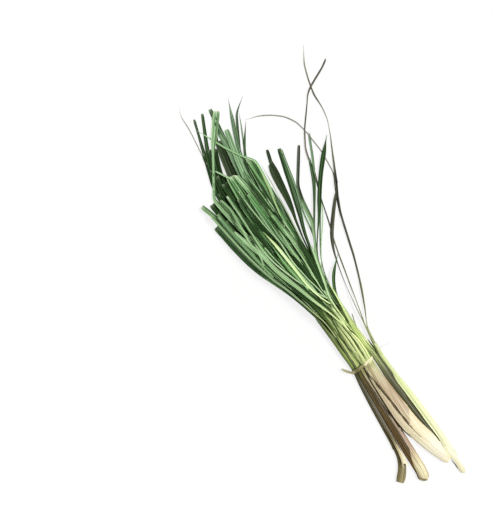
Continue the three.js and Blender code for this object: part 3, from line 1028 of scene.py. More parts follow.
class Ground:
    """The pieces made so far, as one surface that can be felt from above."""

    def __init__(self, pieces: list[bpy.types.Object]) -> None:
        """Gathers the pieces' faces.

        Args:
            pieces: The pieces made so far.
        """
        points, faces = [], []
        for piece in pieces:
            first = len(points)
            points += [v.co for v in piece.data.vertices]
            faces += [[first + i for i in face.vertices] for face in piece.data.polygons]
        self.tree = BVHTree.FromPolygons(points, faces)

    def top(self, x: float, y: float) -> float:
        """Height of what lies at a place, in millimetres from the middle of the tie.

        Args:
            x: Place along the bunch.
            y: Place across it.

        Returns:
            The height, 0 on the bare surface.
        """
        above = Vector(TIE_MIDDLE + np.array([x, y, 100.0]) * METRES)
        hit = self.tree.ray_cast(above, Vector((0, 0, -1)))[0]
        return max(0.0, hit.z / METRES) if hit else 0.0


@dataclass
class Crease:
    """A thin strip pressed on to the layers beneath it: dark ones paint shade into creases, pale ones paint
    highlights on ridges.
    """

    LIFT = 0.16  # how far its middle stands off them

    name: str
    slot: str
    finish: Finish
    width: float
    path: Way

    def build(self, skins: Skins, ground: Ground) -> bpy.types.Object:
        """Builds and dresses the strip.

        Args:
            skins: The finished materials by their finish.
            ground: What it lies on.

        Returns:
            The new object.
        """
        rows = np.array(self.path)
        knots = lengths(rows)
        s = np.linspace(0, knots[-1], max(12, int(knots[-1] / 1.6)))
        spine = np.column_stack([follow(knots, rows, s), 0 * s])
        ends = ease(s / 9) * ease((knots[-1] - s) / 9)
        width = self.width * (0.15 + 0.85 * ends) * (1 + 0.25 * wander(seed_of(self.name), s, 23))
        left = level_left(np.gradient(spine, axis=0))
        u = np.linspace(1, -1, 5)
        across = u * width[:, None] / 2
        top = spine[:, None] + left[:, None] * across[..., None]
        heights = soften(np.array([[ground.top(*spot[:2]) for spot in row] for row in top]), 4)
        top[..., 2] = heights + self.LIFT * (1 - 0.6 * u ** 2)
        skin = skin_over(top, (top[:, 2:3, 0], across, u), (0, 0.5, 0))
        return dress(sheet(self.name, skin, top - np.array([0, 0, 0.25])), skins[self.finish])


@dataclass
class Blade:
    """The section and tip that all the leaf pieces share."""

    CURL = 1.9  # radians that each half of a rolled blade turns through
    OPEN = 1.5  # how much a rolled blade is widened, so that its curl leaves it in sight
    RIPPLE = 0.2  # height of its waves in millimetres
    CUT_REACH = 9  # millimetres from the tip that a slant or tear reaches back

    fold: Fold = Fold.KEELED
    tip: Tip = Tip.SQUARE
    depth: float = 0.26  # height of the fold as a share of the width
    pale_cut: float = 0.25  # how pale its cut tip is
    slant: float = 0.55  # how far a slanted cut reaches as a share of the width, negative on the right
    across: int = 13

    def places(self) -> Array:
        """Places across, 1 at the left edge and -1 at the right one, close together at the keel and edges."""
        even = np.linspace(1, -1, self.across)
        return np.sign(even) * np.abs(even) ** 1.25

    def section(self, u: Array, width: Array) -> tuple[Array, Array]:
        """The leaf's section at each station, before it is rolled.

        Args:
            u: Places across.
            width: Width at each station.

        Returns:
            Places to the left and upwards, as (stations, across) each.
        """
        half = width[:, None] / 2
        deep = self.depth * width[:, None]
        if self.fold is Fold.KEELED:
            return half * u, deep * np.abs(u) - deep * 0.5
        if self.fold is Fold.ROLLED:
            bend = np.abs(u) * self.CURL
            return (half * np.sign(u) * np.sin(bend) / self.CURL * self.OPEN,
                    half * (1 - np.cos(bend)) / self.CURL * self.OPEN)
        return half * u, deep * 0.35 * np.cos(u * math.pi) * -0.5

    def lay(self, spine: Array, width: Array, roll: Array) -> tuple[Array, Array, Array]:
        """Lays the section round a spine.

        Args:
            spine: The midrib, one point a station.
            width: Width at each station.
            roll: Angle that the blade is rolled by about the midrib, in radians.

        Returns:
            Points of the upper side, and the directions along and up at each station.
        """
        along = unit(np.gradient(spine, axis=0))
        left = level_left(along)
        up = np.cross(along, left)
        flat, high = self.section(self.places(), width)
        cos, sin = np.cos(roll)[:, None], np.sin(roll)[:, None]
        side, rise = flat * cos - high * sin, flat * sin + high * cos
        return spine[:, None] + left[:, None] * side[..., None] + up[:, None] * rise[..., None], along, up

    def taper(self, width: Array, left_over: Array) -> Array:
        """Draws the width in towards the tip."""
        share, reach = {Tip.POINTED: (0.85, 22), Tip.SLANTED: (0.2, 9)}.get(self.tip, (0.25, 3))
        return width * (1 - share * (1 - ease(left_over / reach)))

    def close(self, top: Array, along: Array, up: Array, width: Array, left_over: Array, seed: int) -> Array:
        """Cuts or tears the tip, and makes the lower side. Both sides are kept over the surface.

        Args:
            top: Points of the upper side, which are changed.
            along: Direction of the leaf at each station.
            up: Direction out of its upper side at each station.
            width: Width at each station.
            left_over: Length from each station to the tip.
            seed: Which tear.

        Returns:
            Points of the lower side.
        """
        near = ease(1 - left_over / self.CUT_REACH)
        if self.tip is Tip.SLANTED:
            cut = width[-1] * self.slant * near
            top += along[:, None] * (self.places()[None, :, None] * cut[:, None, None]) * 0.9
        if self.tip is Tip.TORN:
            frayed = np.random.default_rng(seed).uniform(-1, 0.2, self.across) * 4
            top += along[:, None] * frayed[None, :, None] * near[:, None, None]
        lower = top - up[:, None] * THICKNESS
        sunk = np.maximum(0, CLEAR - lower[..., 2].min(axis=1))[:, None]
        top[..., 2] += sunk
        lower[..., 2] += sunk
        return lower

    def cutness(self, left_over: Array) -> Array:
        """How close each station is to a fresh cut, as a column."""
        fresh = 0.0 if self.tip is Tip.POINTED else self.pale_cut
        return fresh * np.clip(1.3 - left_over / 2.2, 0, 1)[:, None]


@dataclass
class Leaf:
    """One leaf, from its sheath round a stalk to its tip."""

    SLIM = 0.55  # width just past its root as a share of what its solid has
    FEET = 6  # stations of its sheath below the first point of its solid
    LOOSE_FOOT = 6.0  # where the sheath starts on a stalk that the tie doesn't hold
    STEP = 2.4  # millimetres between two stations
    LIFT, LAYER = 0.3, 0.13  # how far a sheath is off the stalk, and how much each one below adds
    NARROWEST = 2.6  # least width that is read from a solid
    RAISED = 0.12  # how far its midrib lies over its solid's middle line

    node: str
    stalk: str
    slot: str
    finish: Finish
    blade: Blade = field(default_factory=Blade)
    lean: float = 0.0  # degrees that it is rolled to the left about its midrib
    twist: float = 0.0  # degrees of twist from root to tip
    route: Way = ()  # places of its midrib, where the solid's are too smooth
    widths: Way = ()  # places along it and widths, in place of the solid's
    tone: float = 0.5
    sheath: float = 0.0  # degrees that its sheath reaches to each side
    swing: float = 0.0  # degrees added to where its sheath sits round the stalk
    layer: int = 1  # how many sheaths lie under its own

    def grow(self, rng: np.random.Generator, layer: int) -> None:
        """Makes the leaf differ a little from the others.

        Args:
            rng: Where the differences come from.
            layer: How many sheaths lie under its own.
        """
        self.tone = float(self.tone + rng.uniform(-0.36, 0.36))
        self.blade = replace(self.blade, depth=self.blade.depth * float(rng.uniform(0.7, 1.4)))
        self.swing = float(rng.uniform(-42, 42))
        self.sheath = float(rng.uniform(26, 58))
        self.layer = layer

    def knots(self) -> tuple[Array, Array]:
        """Reads the leaf's course from its solid, and from its route and widths where it has them.

        Returns:
            The midrib's points and the width at each of them, from root to tip.
        """
        middles, sideways = sides_of(solid_rings(self.node, (-1, 0, 0), LEAF_SIDES))
        widths = sideways.max(axis=1) - sideways.min(axis=1)
        if self.route:
            rows = np.array(self.route)
            steps = lengths(rows)
            at = np.sort(np.concatenate([steps, np.linspace(0, steps[-1], 24)[1:-1]]))
            plan = np.column_stack([np.interp(at, steps, rows[:, k]) for k in (0, 1)])
            height = np.interp(plan[:, 0], middles[:, 0], middles[:, 2])
            widths = np.interp(plan[:, 0], middles[:, 0], widths)
            middles = np.column_stack([plan, height])
        if self.widths:
            widths = np.interp(middles[:, 0], *zip(*self.widths))
        middles[:, 2] += self.RAISED
        return middles, widths

    def root_angle(self, course: Course, root: Array) -> tuple[float, float]:
        """Where the leaf leaves its stalk.

        Args:
            course: The stalk's course.
            root: The first point of the midrib.

        Returns:
            Angle round the stalk in radians, and the distance from its middle as a share of its girth.
        """
        y, z, wide, high = course.middle(min(root[0], course.end - 6))
        sideways, upwards = (root[1] - y) / wide, (root[2] - z) / high
        angle = math.atan2(max(upwards, 0.2), sideways) + math.radians(self.swing)
        return angle, min(math.hypot(sideways, upwards), 1.0)

    def build(self, stalk: Stalk, skins: Skins, pile: Pile) -> bpy.types.Object:
        """Builds and dresses the leaf.

        Args:
            stalk: The stalk that it grows from.
            skins: The finished materials by their finish.
            pile: The height map, on which the leaf is noted.

        Returns:
            The new object.
        """
        seed, blade, course = seed_of(self.node), self.blade, stalk.course
        middles, widths = self.knots()
        angle, share = self.root_angle(course, middles[0])
        foot = TIE_SLANT * course.surface(0.0, angle)[1] if stalk.tied else self.LOOSE_FOOT
        feet_x = np.linspace(foot, middles[0, 0] - 9, self.FEET)
        lift = self.LIFT + self.LAYER * self.layer
        line = np.concatenate([course.surface(feet_x, angle, lift * pinch(feet_x), share), middles])
        knots = lengths(line)
        root_at, length = knots[self.FEET], knots[-1]
        s = np.linspace(0, length, max(24, int(length / self.STEP)))
        spine = np.column_stack([np.interp(s, knots, line[:, k]) for k in range(3)])
        spine = soften(spine, 2 if self.route else 6)
        width = np.interp(s, knots[self.FEET:], widths)
        if not self.widths:
            width = np.maximum(width, self.NARROWEST) * (
                self.SLIM + (1 - self.SLIM) * ease((s - root_at - 10) / 110))
        left_over = length - s
        width = blade.taper(width * (1 + 0.05 * wander(seed, s, 60)), left_over)
        rolled = self.lean * ease((s - root_at) / 50) + self.twist * s / length
        roll = np.radians(rolled + 4 * wander(seed + 1, s, 110))
        free, along, up = blade.lay(spine, width, roll)
        u = blade.places()
        girth = np.maximum(course.girth(spine[:, 0]) * share, 1.2)
        narrow = np.minimum(width / 2 / girth, 1.2)
        reach = np.radians(self.sheath) * (1.0 if stalk.tied else ease((s + 4) / 30))
        reach = reach + (narrow - reach) * ease((s - root_at + 34) / 34)
        turn = angle - u * reach[:, None]
        lying = course.surface(spine[:, :1], turn, lift * pinch(spine[:, :1]), share)
        lying[..., 2] += 0.1 * np.cos(11 * turn + wander(seed + 4, spine[:, :1], 120))
        opening = ease((s - root_at + 16) / 40)[:, None]
        top = lying * (1 - opening[..., None]) + free * opening[..., None]
        waves = np.where(u > 0, wander(seed + 2, s, 26)[:, None], wander(seed + 3, s, 31)[:, None])
        top[..., 2] += blade.RIPPLE * waves * np.abs(u) ** 2 * opening
        lower = blade.close(top, along, up, width, left_over, seed)
        pile.cover(top)
        spread = (reach * girth)[:, None] * (1 - opening) + width[:, None] / 2 * opening
        growth = (stalk.tint, self.tone, blade.cutness(left_over))
        skin = skin_over(top, ((s + foot)[:, None], u * spread, u), growth)
        return dress(sheet(self.node + "_leaf", skin, lower), skins[self.finish], self.node)


@dataclass
class Strand:
    """A narrow blade or leaf end that shows among the others."""

    name: str
    slot: str
    finish: Finish
    width: float
    path: Way  # places from its root to its tip, with heights where it isn't laid on the others
    over: float = 0.2  # clear height over what lies beneath
    root_width: float = 0.6  # as a share of its width
    tucked: float = 2.4  # how far its root lies down among the others
    reach: int = 5  # steps over which its bends are rounded
    tone: float = 0.5
    blade: Blade = field(default_factory=Blade)

    def build(self, skins: Skins, pile: Pile) -> bpy.types.Object:
        """Builds and dresses the strand.

        Args:
            skins: The finished materials by their finish.
            pile: The height map that it is laid on, and noted in.

        Returns:
            The new object.
        """
        seed, blade = seed_of(self.name) + 7, self.blade
        rows = np.array(self.path)
        knots = lengths(rows[:, :2])
        length = knots[-1]
        s = np.linspace(0, length, max(12, int(length / 2.2)))
        plan = np.column_stack([np.interp(s, knots, rows[:, k]) for k in (0, 1)])
        spine = np.column_stack([soften(plan, min(self.reach, len(s) // 3)), np.zeros(len(s))])
        left_over = length - s
        width = self.width * (self.root_width + (1 - self.root_width) * ease(s / (0.5 * length)))
        width = blade.taper(width * (1 + 0.08 * wander(seed, s, 40)), left_over)
        if rows.shape[1] == 3:
            spine[:, 2] = np.interp(s, knots, rows[:, 2])
        else:
            left = level_left(unit(np.gradient(spine, axis=0)))
            spots = spine[:, None] + left[:, None] * (np.array([-0.4, 0, 0.4]) * self.width)[None, :, None]
            ground = pile.top(spots).max(axis=1)
            high = np.array([ground[max(0, i - 4):i + 5].max() for i in range(len(s))])
            spine[:, 2] = high + self.over + blade.depth * width * 0.5 - self.tucked * (1 - ease(s / 22))
        spine[:, 2:] = soften(spine[:, 2:], min(6, len(s) // 3))
        top, along, up = blade.lay(spine, width, np.radians(6 * wander(seed + 1, s, 90)))
        lower = blade.close(top, along, up, width, left_over, seed)
        pile.cover(top)
        u = blade.places()
        growth = (0, self.tone, blade.cutness(left_over))
        skin = skin_over(top, (spine[:, :1], u * width[:, None] / 2, u), growth)
        return dress(sheet(self.name, skin, lower), skins[self.finish])


def strands(stem: str, slot: str, finish: Finish, rows: str, **more: object) -> list[Strand]:
    """Strands of one kind.

    Args:
        stem: Start of their names.
        slot: Their slot.
        finish: Their finish.
        rows: A line for each one, with its number, its width and its way.
        **more: Other settings of all of them.

    Returns:
        The strands, in the order of the lines.
    """
    found = (row.split(maxsplit=2) for row in rows.strip().splitlines())
    return [Strand(f"{stem}_{number}", slot, finish, float(width), way(path), **more)
            for number, width, path in found]


# ---- The loose sheath and the tie ----


@dataclass
class LooseSheath:
    """The outer sheath of the short stalk, torn off its cut end and creamy inside."""

    WIDTHS = way("-109,5.6 -102,4.8 -94,3.4 -84,2 -70,0.9")
    DROP = way("-109,0.4 -100,-0.6 -84,-0.2 -70,0")
    TORN = (0, -1.6, -0.4, 1.4, 2.6, 1.8, 2.4, 3.2, 2.6, 1.2, 1.6, 0.4, -0.6, 0.2, -0.9, -2.0, -2.6)
    THICK = 0.35

    node: str
    slot: str
    finish: Finish

    def build(self, skins: Skins) -> bpy.types.Object:
        """Builds and dresses the loose sheath.

        Args:
            skins: The finished materials by their finish.

        Returns:
            The new object.
        """
        middles = solid_rings(self.node, (-1, 0, 0), LEAF_SIDES).mean(axis=1)
        s = np.linspace(middles[0, 0], middles[-1, 0], 44)
        spine = np.column_stack([s, follow(middles[:, 0], middles[:, 1:], s)])
        spine[:, 1] += np.interp(s, *zip(*self.DROP))
        width = np.interp(s, *zip(*self.WIDTHS))[:, None]
        u = np.linspace(1, -1, len(self.TORN))
        top = np.repeat(spine[:, None], len(u), axis=1)
        top[..., 1] += u * width / 2
        top[..., 0] += np.array(self.TORN) * ease(1 - (s - s[0]) / 9)[:, None]
        top[..., 2] += 0.5 - 1.1 * u ** 2 * (width / self.WIDTHS[0][1]) + 0.12 * np.cos(u * 14)
        top[..., 2] += 0.9 * ease(1 - (s - s[0]) / 16)[:, None] * (u > 0) * np.abs(u)
        skin = skin_over(top, (s[:, None], u * width / 2, u), (0, 0.6, 0))
        piece = sheet("short_stalk_loose_sheath", skin, top - np.array([0, 0, self.THICK]))
        return dress(piece, skins[self.finish], self.node)


@dataclass
class Tie:
    """The strip of dry leaf that is wound round the three thicker stalks."""

    WIDTH = 2.7
    PROUD = 0.45  # how far it lies outside its solid's middle line
    THICK = 0.4
    OUTLOOK = (0.81, 0.56, -0.19)  # the way that its first end looks
    BUNCHWISE = np.array([1.0, 0.0, 0.0])

    node: str
    slot: str
    finish: Finish

    def build(self, skins: Skins) -> bpy.types.Object:
        """Builds and dresses the tie.

        Args:
            skins: The finished materials by their finish.

        Returns:
            The new object.
        """
        middles = solid_rings(self.node, self.OUTLOOK, TIE_SIDES).mean(axis=1)
        knots = lengths(middles)
        s = np.linspace(0, knots[-1], int(knots[-1] / 0.7))
        spine = follow(knots, middles, s)
        along = unit(np.gradient(spine, axis=0))
        side = unit(self.BUNCHWISE - along * (along @ self.BUNCHWISE)[:, None])
        out = np.cross(along, side)
        out *= np.sign(np.einsum("ij,ij->i", out, spine - spine.mean(axis=0)).sum())
        u = np.linspace(1, -1, 15)
        width = self.WIDTH * (1 + 0.12 * wander(2, s, 23)) * (1 - 0.45 * (1 - ease(s / 5)))
        fibres = 0.1 * np.cos(u * 9 + wander(5, s, 30)[:, None]) + 0.12 * wander(7, s, 9)[:, None] * u
        crown = 0.25 * (1 - u ** 2) + self.PROUD
        across = u * width[:, None] / 2
        flat = spine[:, None] + side[:, None] * across[..., None]
        top, low = (flat + out[:, None] * (fibres + crown - inside)[..., None] for inside in (0, self.THICK))
        top[..., 2] = np.maximum(top[..., 2], 0.1)
        low[..., 2] = np.maximum(low[..., 2], 0.05)
        skin = skin_over(top, (spine[:, 1:2], across, u), (0, 0.5, 0))
        return dress(sheet("tie_strip", skin, low), skins[self.finish], self.node)


# ---- The finishes of this bunch ----

FRESH = LivingBlade(
    "fresh_blade_waxy",
    ((0, "#a9c86c"), (50, "#86aa58"), (90, "#689a50"), (130, "#5c9150"), (200, "#559250"), (300, "#5f9057")),
    vein="#1f4a1d", light="#96c07d", keel="#a9cf92", margin="#a6c98c")
DARK = LivingBlade(
    "dark_blade_waxy",
    ((0, "#8fb060"), (50, "#4c6b2c"), (90, "#375522"), (130, "#2f5126"), (200, "#2b4a26"), (300, "#344d30")),
    vein="#0f2808", light="#4e773e", keel="#62894e", margin="#557a42", contrast=0.65)
PALE = LivingBlade(
    "pale_blade_waxy",
    ((0, "#cfe592"), (50, "#bcd68c"), (90, "#a9cc8a"), (140, "#9cc587"), (200, "#9cc58a"), (300, "#a6cf98")),
    vein="#517f45", light="#cbe5bb", keel="#cbe3bb", margin="#b4d2a2", contrast=0.55)
PALE_TURNED = LivingBlade(
    "pale_blade_turned",
    ((0, "#bcd68c"), (130, "#9cc587"), (176, "#92b883"), (184, "#4b5a3a"), (192, "#343b24"),
     (260, "#3d3f2b")),
    vein="#2a3a1c", light="#8ca47c", keel="#4c5a3e", margin="#46523a", contrast=0.12)
GREYISH = LivingBlade(
    "greyish_blade_waxy",
    ((0, "#a9b970"), (50, "#8ea567"), (90, "#729460"), (140, "#68935d"), (200, "#699665"), (300, "#7d9c7c")),
    vein="#3a5f35", light="#a2bf90", keel="#a9c499", margin="#93b080", contrast=0.6)
YELLOW = LivingBlade(
    "yellow_blade_waxy",
    ((0, "#d6ea9c"), (60, "#d8ec9f"), (90, "#c4e09a"), (118, "#cfeba6"), (135, "#eaffca"), (150, "#d2ec9f"),
     (165, "#a9cb88")),
    vein="#a5c876", light="#f6ffd8", keel="#f0fbd0", margin="#cbe39b", contrast=0.4)
# Painted shade: a very dark, dull green for the shaded gaps among the blades, on the lowest blades and on
# dark strands that fill those gaps.
DEEP_SHADE = LivingBlade(
    "deep_blade_waxy",
    ((0, "#42591c"), (50, "#2f4711"), (90, "#1f3a0e"), (140, "#1b380f"), (200, "#1f3c15"), (300, "#2a4426")),
    vein="#0a1f04", light="#3a6228", keel="#3a5f28", margin="#2c4f1c", contrast=0.5, shine=0.8,
    pale_sheath="#4a5f22", dark_sheath="#3a4a1a", sheath_edge="#33461a")
OLIVE_BLADE = LivingBlade(
    "olive_blade_waxy",
    ((0, "#8fa860"), (60, "#3f5524"), (120, "#2d3f1c"), (165, "#33432a"), (235, "#313e27")),
    vein="#1c2a10", light="#4a5f38", keel="#40552f", margin="#4a5f3a", contrast=0.4)
CREAM = StalkSheath(
    "cream_sheath",
    ((-127, "#fbefcc"), (-118, "#fff6de"), (-104, "#fffadf"), (-88, "#f6ecc6"), (-70, "#f3e4bd"),
     (-54, "#e6d2ad"), (-38, "#e0cea8"), (-22, "#c9bf97"), (-8, "#c8c795"), (4, "#cbdc92"), (30, "#c4dc88"),
     (60, "#9fc476")),
    flush="#d8c39c", rib="#ccbd92", flush_share=0.3, rib_share=0.3, margin="#7d6843")
TAN = StalkSheath(
    "tan_sheath",
    ((-75, "#ebdcb3"), (-62, "#e2cfa6"), (-50, "#cdb58f"), (-36, "#c8b08c"), (-24, "#d9c8a0"),
     (-10, "#d9dba6"), (6, "#dcec9f"), (60, "#b5d487")),
    flush="#a88c6c", rib="#a08d66", flush_share=0.6, rib_share=0.6, margin="#9c8a60")
BROWN = StalkSheath(
    "brown_sheath",
    ((-133, "#8a6f50"), (-130.5, "#f5e9bb"), (-116, "#fff6c8"), (-107, "#e6d6a6"), (-98, "#bfa283"),
     (-80, "#b3977c"), (-50, "#a5946c"), (-30, "#a3946c"), (-8, "#b3ac78"), (10, "#b5cc7c"), (60, "#8fb262")),
    flush="#8a6f4c", rib="#6c5738", flush_share=0.4, rib_share=0.4)
# A darker outer sheath on the brown stalk's left side and top: partly its own brown and partly painted shade
# on the side away from the lamp.
UMBER = StalkSheath(
    "umber_sheath",
    ((-133, "#6b562a"), (-110, "#6d562b"), (-80, "#624b1f"), (-50, "#5d491a"), (-20, "#655826"),
     (0, "#666b33"), (14, "#5a7330"), (60, "#4f7030")),
    flush="#90743f", rib="#30240a", flush_share=0.45, rib_share=0.6, margin="#2a1f0c")
# The shaded stalk: the dark olive below the tie is painted shade from the stalks beside it; the lime above
# the tie is its own colour.
OLIVE = StalkSheath(
    "olive_sheath",
    ((-106, "#4d4f28"), (-80, "#4c4e26"), (-50, "#515130"), (-28, "#5a5a38"), (-14, "#787e50"),
     (2, "#a9b877"), (20, "#cfe096"), (60, "#c7dd8c")),
    flush="#4b4a27", rib="#434322", flush_share=0.45, rib_share=0.5, margin="#343719")
# The short stalk: darker from -86 mm towards the tie, partly its own brown-grey and partly painted shadow
# cast by the neighbouring bunch.
SHORT = StalkSheath(
    "short_sheath",
    ((-124, "#b8ac79"), (-116, "#a29562"), (-104, "#938553"), (-86, "#6f6434"), (-60, "#4f4726"),
     (-20, "#4a4826"), (4, "#47502b"), (60, "#435f2c")),
    flush="#63563a", rib="#3f361b", flush_share=0.5, rib_share=0.5, margin="#54472c")
ROOTED = StalkSheath(
    "rooted_sheath",
    ((-146, "#f0e6c0"), (-132, "#faf1d4"), (-124, "#fffbe2"), (-100, "#fbfed0"), (-70, "#f4fabd"),
     (-40, "#e6efac"), (-10, "#d3df9a"), (10, "#cbd79a"), (28, "#bcc992")),
    flush="#d3de96", rib="#c3cd8a", flush_share=0.4, rib_share=0.2, margin="#dde0b0")
FLAP = StalkSheath(
    "loose_cream_sheath",
    ((-110, "#fbf4d2"), (-101, "#f6ebc4"), (-92, "#cfc196"), (-82, "#978d65"), (-70, "#665f3c")),
    flush="#d3c498", rib="#b9a97e", margin="#a8986c")
DRY_LONG = DryLeafSkin(
    "dried_leaf_long",
    ((24, "#c6cf98"), (60, "#85855f"), (100, "#4b4c3a"), (180, "#3d3c2f"), (215, "#8e8f72"),
     (240, "#c9c9b4"), (258, "#55503f"), (285, "#6c6753"), (307, "#a5a291")),
    crease="#2d2a20", light="#8d8a6c")
DRY_CROSSING = DryLeafSkin(
    "dried_leaf_crossing",
    ((24, "#c3cc92"), (60, "#8c9068"), (110, "#6d7052"), (150, "#3f4530"), (200, "#8d8a78"),
     (230, "#a5a292"), (255, "#4c483a"), (285, "#5b5547")),
    crease="#34321f", light="#a6a384")
DRY_ARC = DryLeafSkin(
    "dried_leaf_fine",
    ((24, "#c0c596"), (80, "#8a8d6c"), (160, "#83846d"), (230, "#97968a"), (275, "#9a998a")),
    crease="#77756a", light="#cfcec4")
DRY_GREEN = DryLeafSkin(
    "dried_leaf_greenish",
    ((24, "#b9d282"), (110, "#8fae76"), (160, "#b4c7a0"), (225, "#b9c2a8")),
    crease="#6d8a5c", light="#dbe6cb")
DRY_TWISTED = DryLeafSkin(
    "dried_leaf_twisted",
    ((24, "#a9b27a"), (70, "#787a58"), (115, "#3e3e2a"), (150, "#4b4b36"), (172, "#4d5138")),
    crease="#2a2718", light="#77765a")
# The tie: its darker band from 2.5 to 10 mm across is partly the strip's dry colour and partly painted shade.
STRAW = DryLeafSkin(
    "straw_strip",
    ((-13, "#f6f0c4"), (-9, "#fffcd4"), (0, "#fffacc"), (2.5, "#a9a06a"), (5, "#6f6639"), (10, "#777045"),
     (13, "#b9b489"), (22, "#cbc8a2")),
    crease="#b3a873", light="#fffde0")
# Painted shade: dark brown for the shadowed creases and gaps between the sheaths below the tie, and for the
# thick stalk's left wall.
BROWN_CREASE_SHADE = DryLeafSkin(
    "dried_margin_brown",
    ((-90, "#4a3719"), (-60, "#3d2f14"), (-20, "#453a1c"), (0, "#47431e")),
    crease="#2a1f0a", light="#6d5a35")
# Painted shade: dark olive for the shadowed creases between the sheaths above the tie.
GREEN_CREASE_SHADE = DryLeafSkin(
    "dried_margin_green",
    ((0, "#4a5220"), (30, "#455a18"), (60, "#3a4f14"), (110, "#2c4612")),
    crease="#33420f", light="#67803a")

STALKS = [
    Stalk("thick_stalk", "cream_stalk", CREAM, [
        Wrap("tan_sheath", TAN, (52, 235), way("0,-84 0.3,-70 0.6,-60 1,-55"), 62, lift=0.15, curl=0.3,
             seed=11),
        Wrap("upper_sheath", CREAM, (-45, 84), way("0,-60 0.6,-80 1,-91"), 50, lift=0.55, drift_far=-22,
             curl=0.7, ragged=0.8, tone=0.42, seed=12),
        # Painted shade: a dark brown strip on the thick stalk's left wall, which faces away from the lamp.
        Wrap("side_margin", BROWN_CREASE_SHADE, (-4, 27), way("0,-64 0.5,-80 1,-85"), 20, lift=0.85, drift=-20,
             drift_far=6, curl=0.3, ragged=1.6, seed=13)], tone=0.55),
    Stalk("brown_stalk", "brown_stalk", BROWN, [
        Wrap("umber_sheath", UMBER, (-60, 100),
             way("0,-131 0.37,-132.4 0.55,-127 0.7,-112 0.85,-104 1,-97"), 58, drift_far=-16, curl=0.6,
             seed=21),
        Wrap("inner_sheath", BROWN, (96, 170), way("0,-80 1,-72"), 50, lift=0.2, curl=0.4, tone=0.35,
             seed=22)], tint=0.45),
    Stalk("short_stalk", "brown_stalk", SHORT, [
        Wrap("outer_sheath", SHORT, (-50, 100), way("0,-92 1,-84"), 60, lift=0.2, tone=0.35, seed=31)],
        tint=0.95, hollow=1.6, outlook=(-0.7, 0.72, 0.0)),
    Stalk("shaded_stalk", "green_stalk", OLIVE, [
        Wrap("outer_sheath", OLIVE, (30, 118), way("0,-88 1,-80"), 40, lift=0.25, curl=0.5, tone=0.7,
             seed=41)], tint=0.1, tied=False, hollow=0.2),
    Stalk("rooted_stalk", "green_stalk", ROOTED, [
        Wrap("outer_sheath", ROOTED, (70, 260), way("0,-112 0.5,-124 1,-118"), 12, lift=0.12, tone=0.6,
             seed=51)], tint=0.05, tied=False, tone=0.55, beyond=12, rings=(-144, -128)),
]

NARROW_POINT = Blade(tip=Tip.POINTED)
SLANT = Blade(tip=Tip.SLANTED, pale_cut=0.5)
RIGHT_SLANT = Blade(tip=Tip.SLANTED, pale_cut=0.1, slant=-0.45)
PALE_SQUARE = Blade(pale_cut=0.95)
RIDGED = Blade(depth=-0.4, pale_cut=0.1)
LEVEL_POINT = Blade(Fold.FLAT, Tip.POINTED, across=7)
ROLLED_POINT = Blade(Fold.ROLLED, Tip.POINTED, across=5)
ROLLED_TEAR = Blade(Fold.ROLLED, Tip.TORN, across=5)
PRESSED = {"over": 0.1, "blade": NARROW_POINT}  # lies close on what is beneath

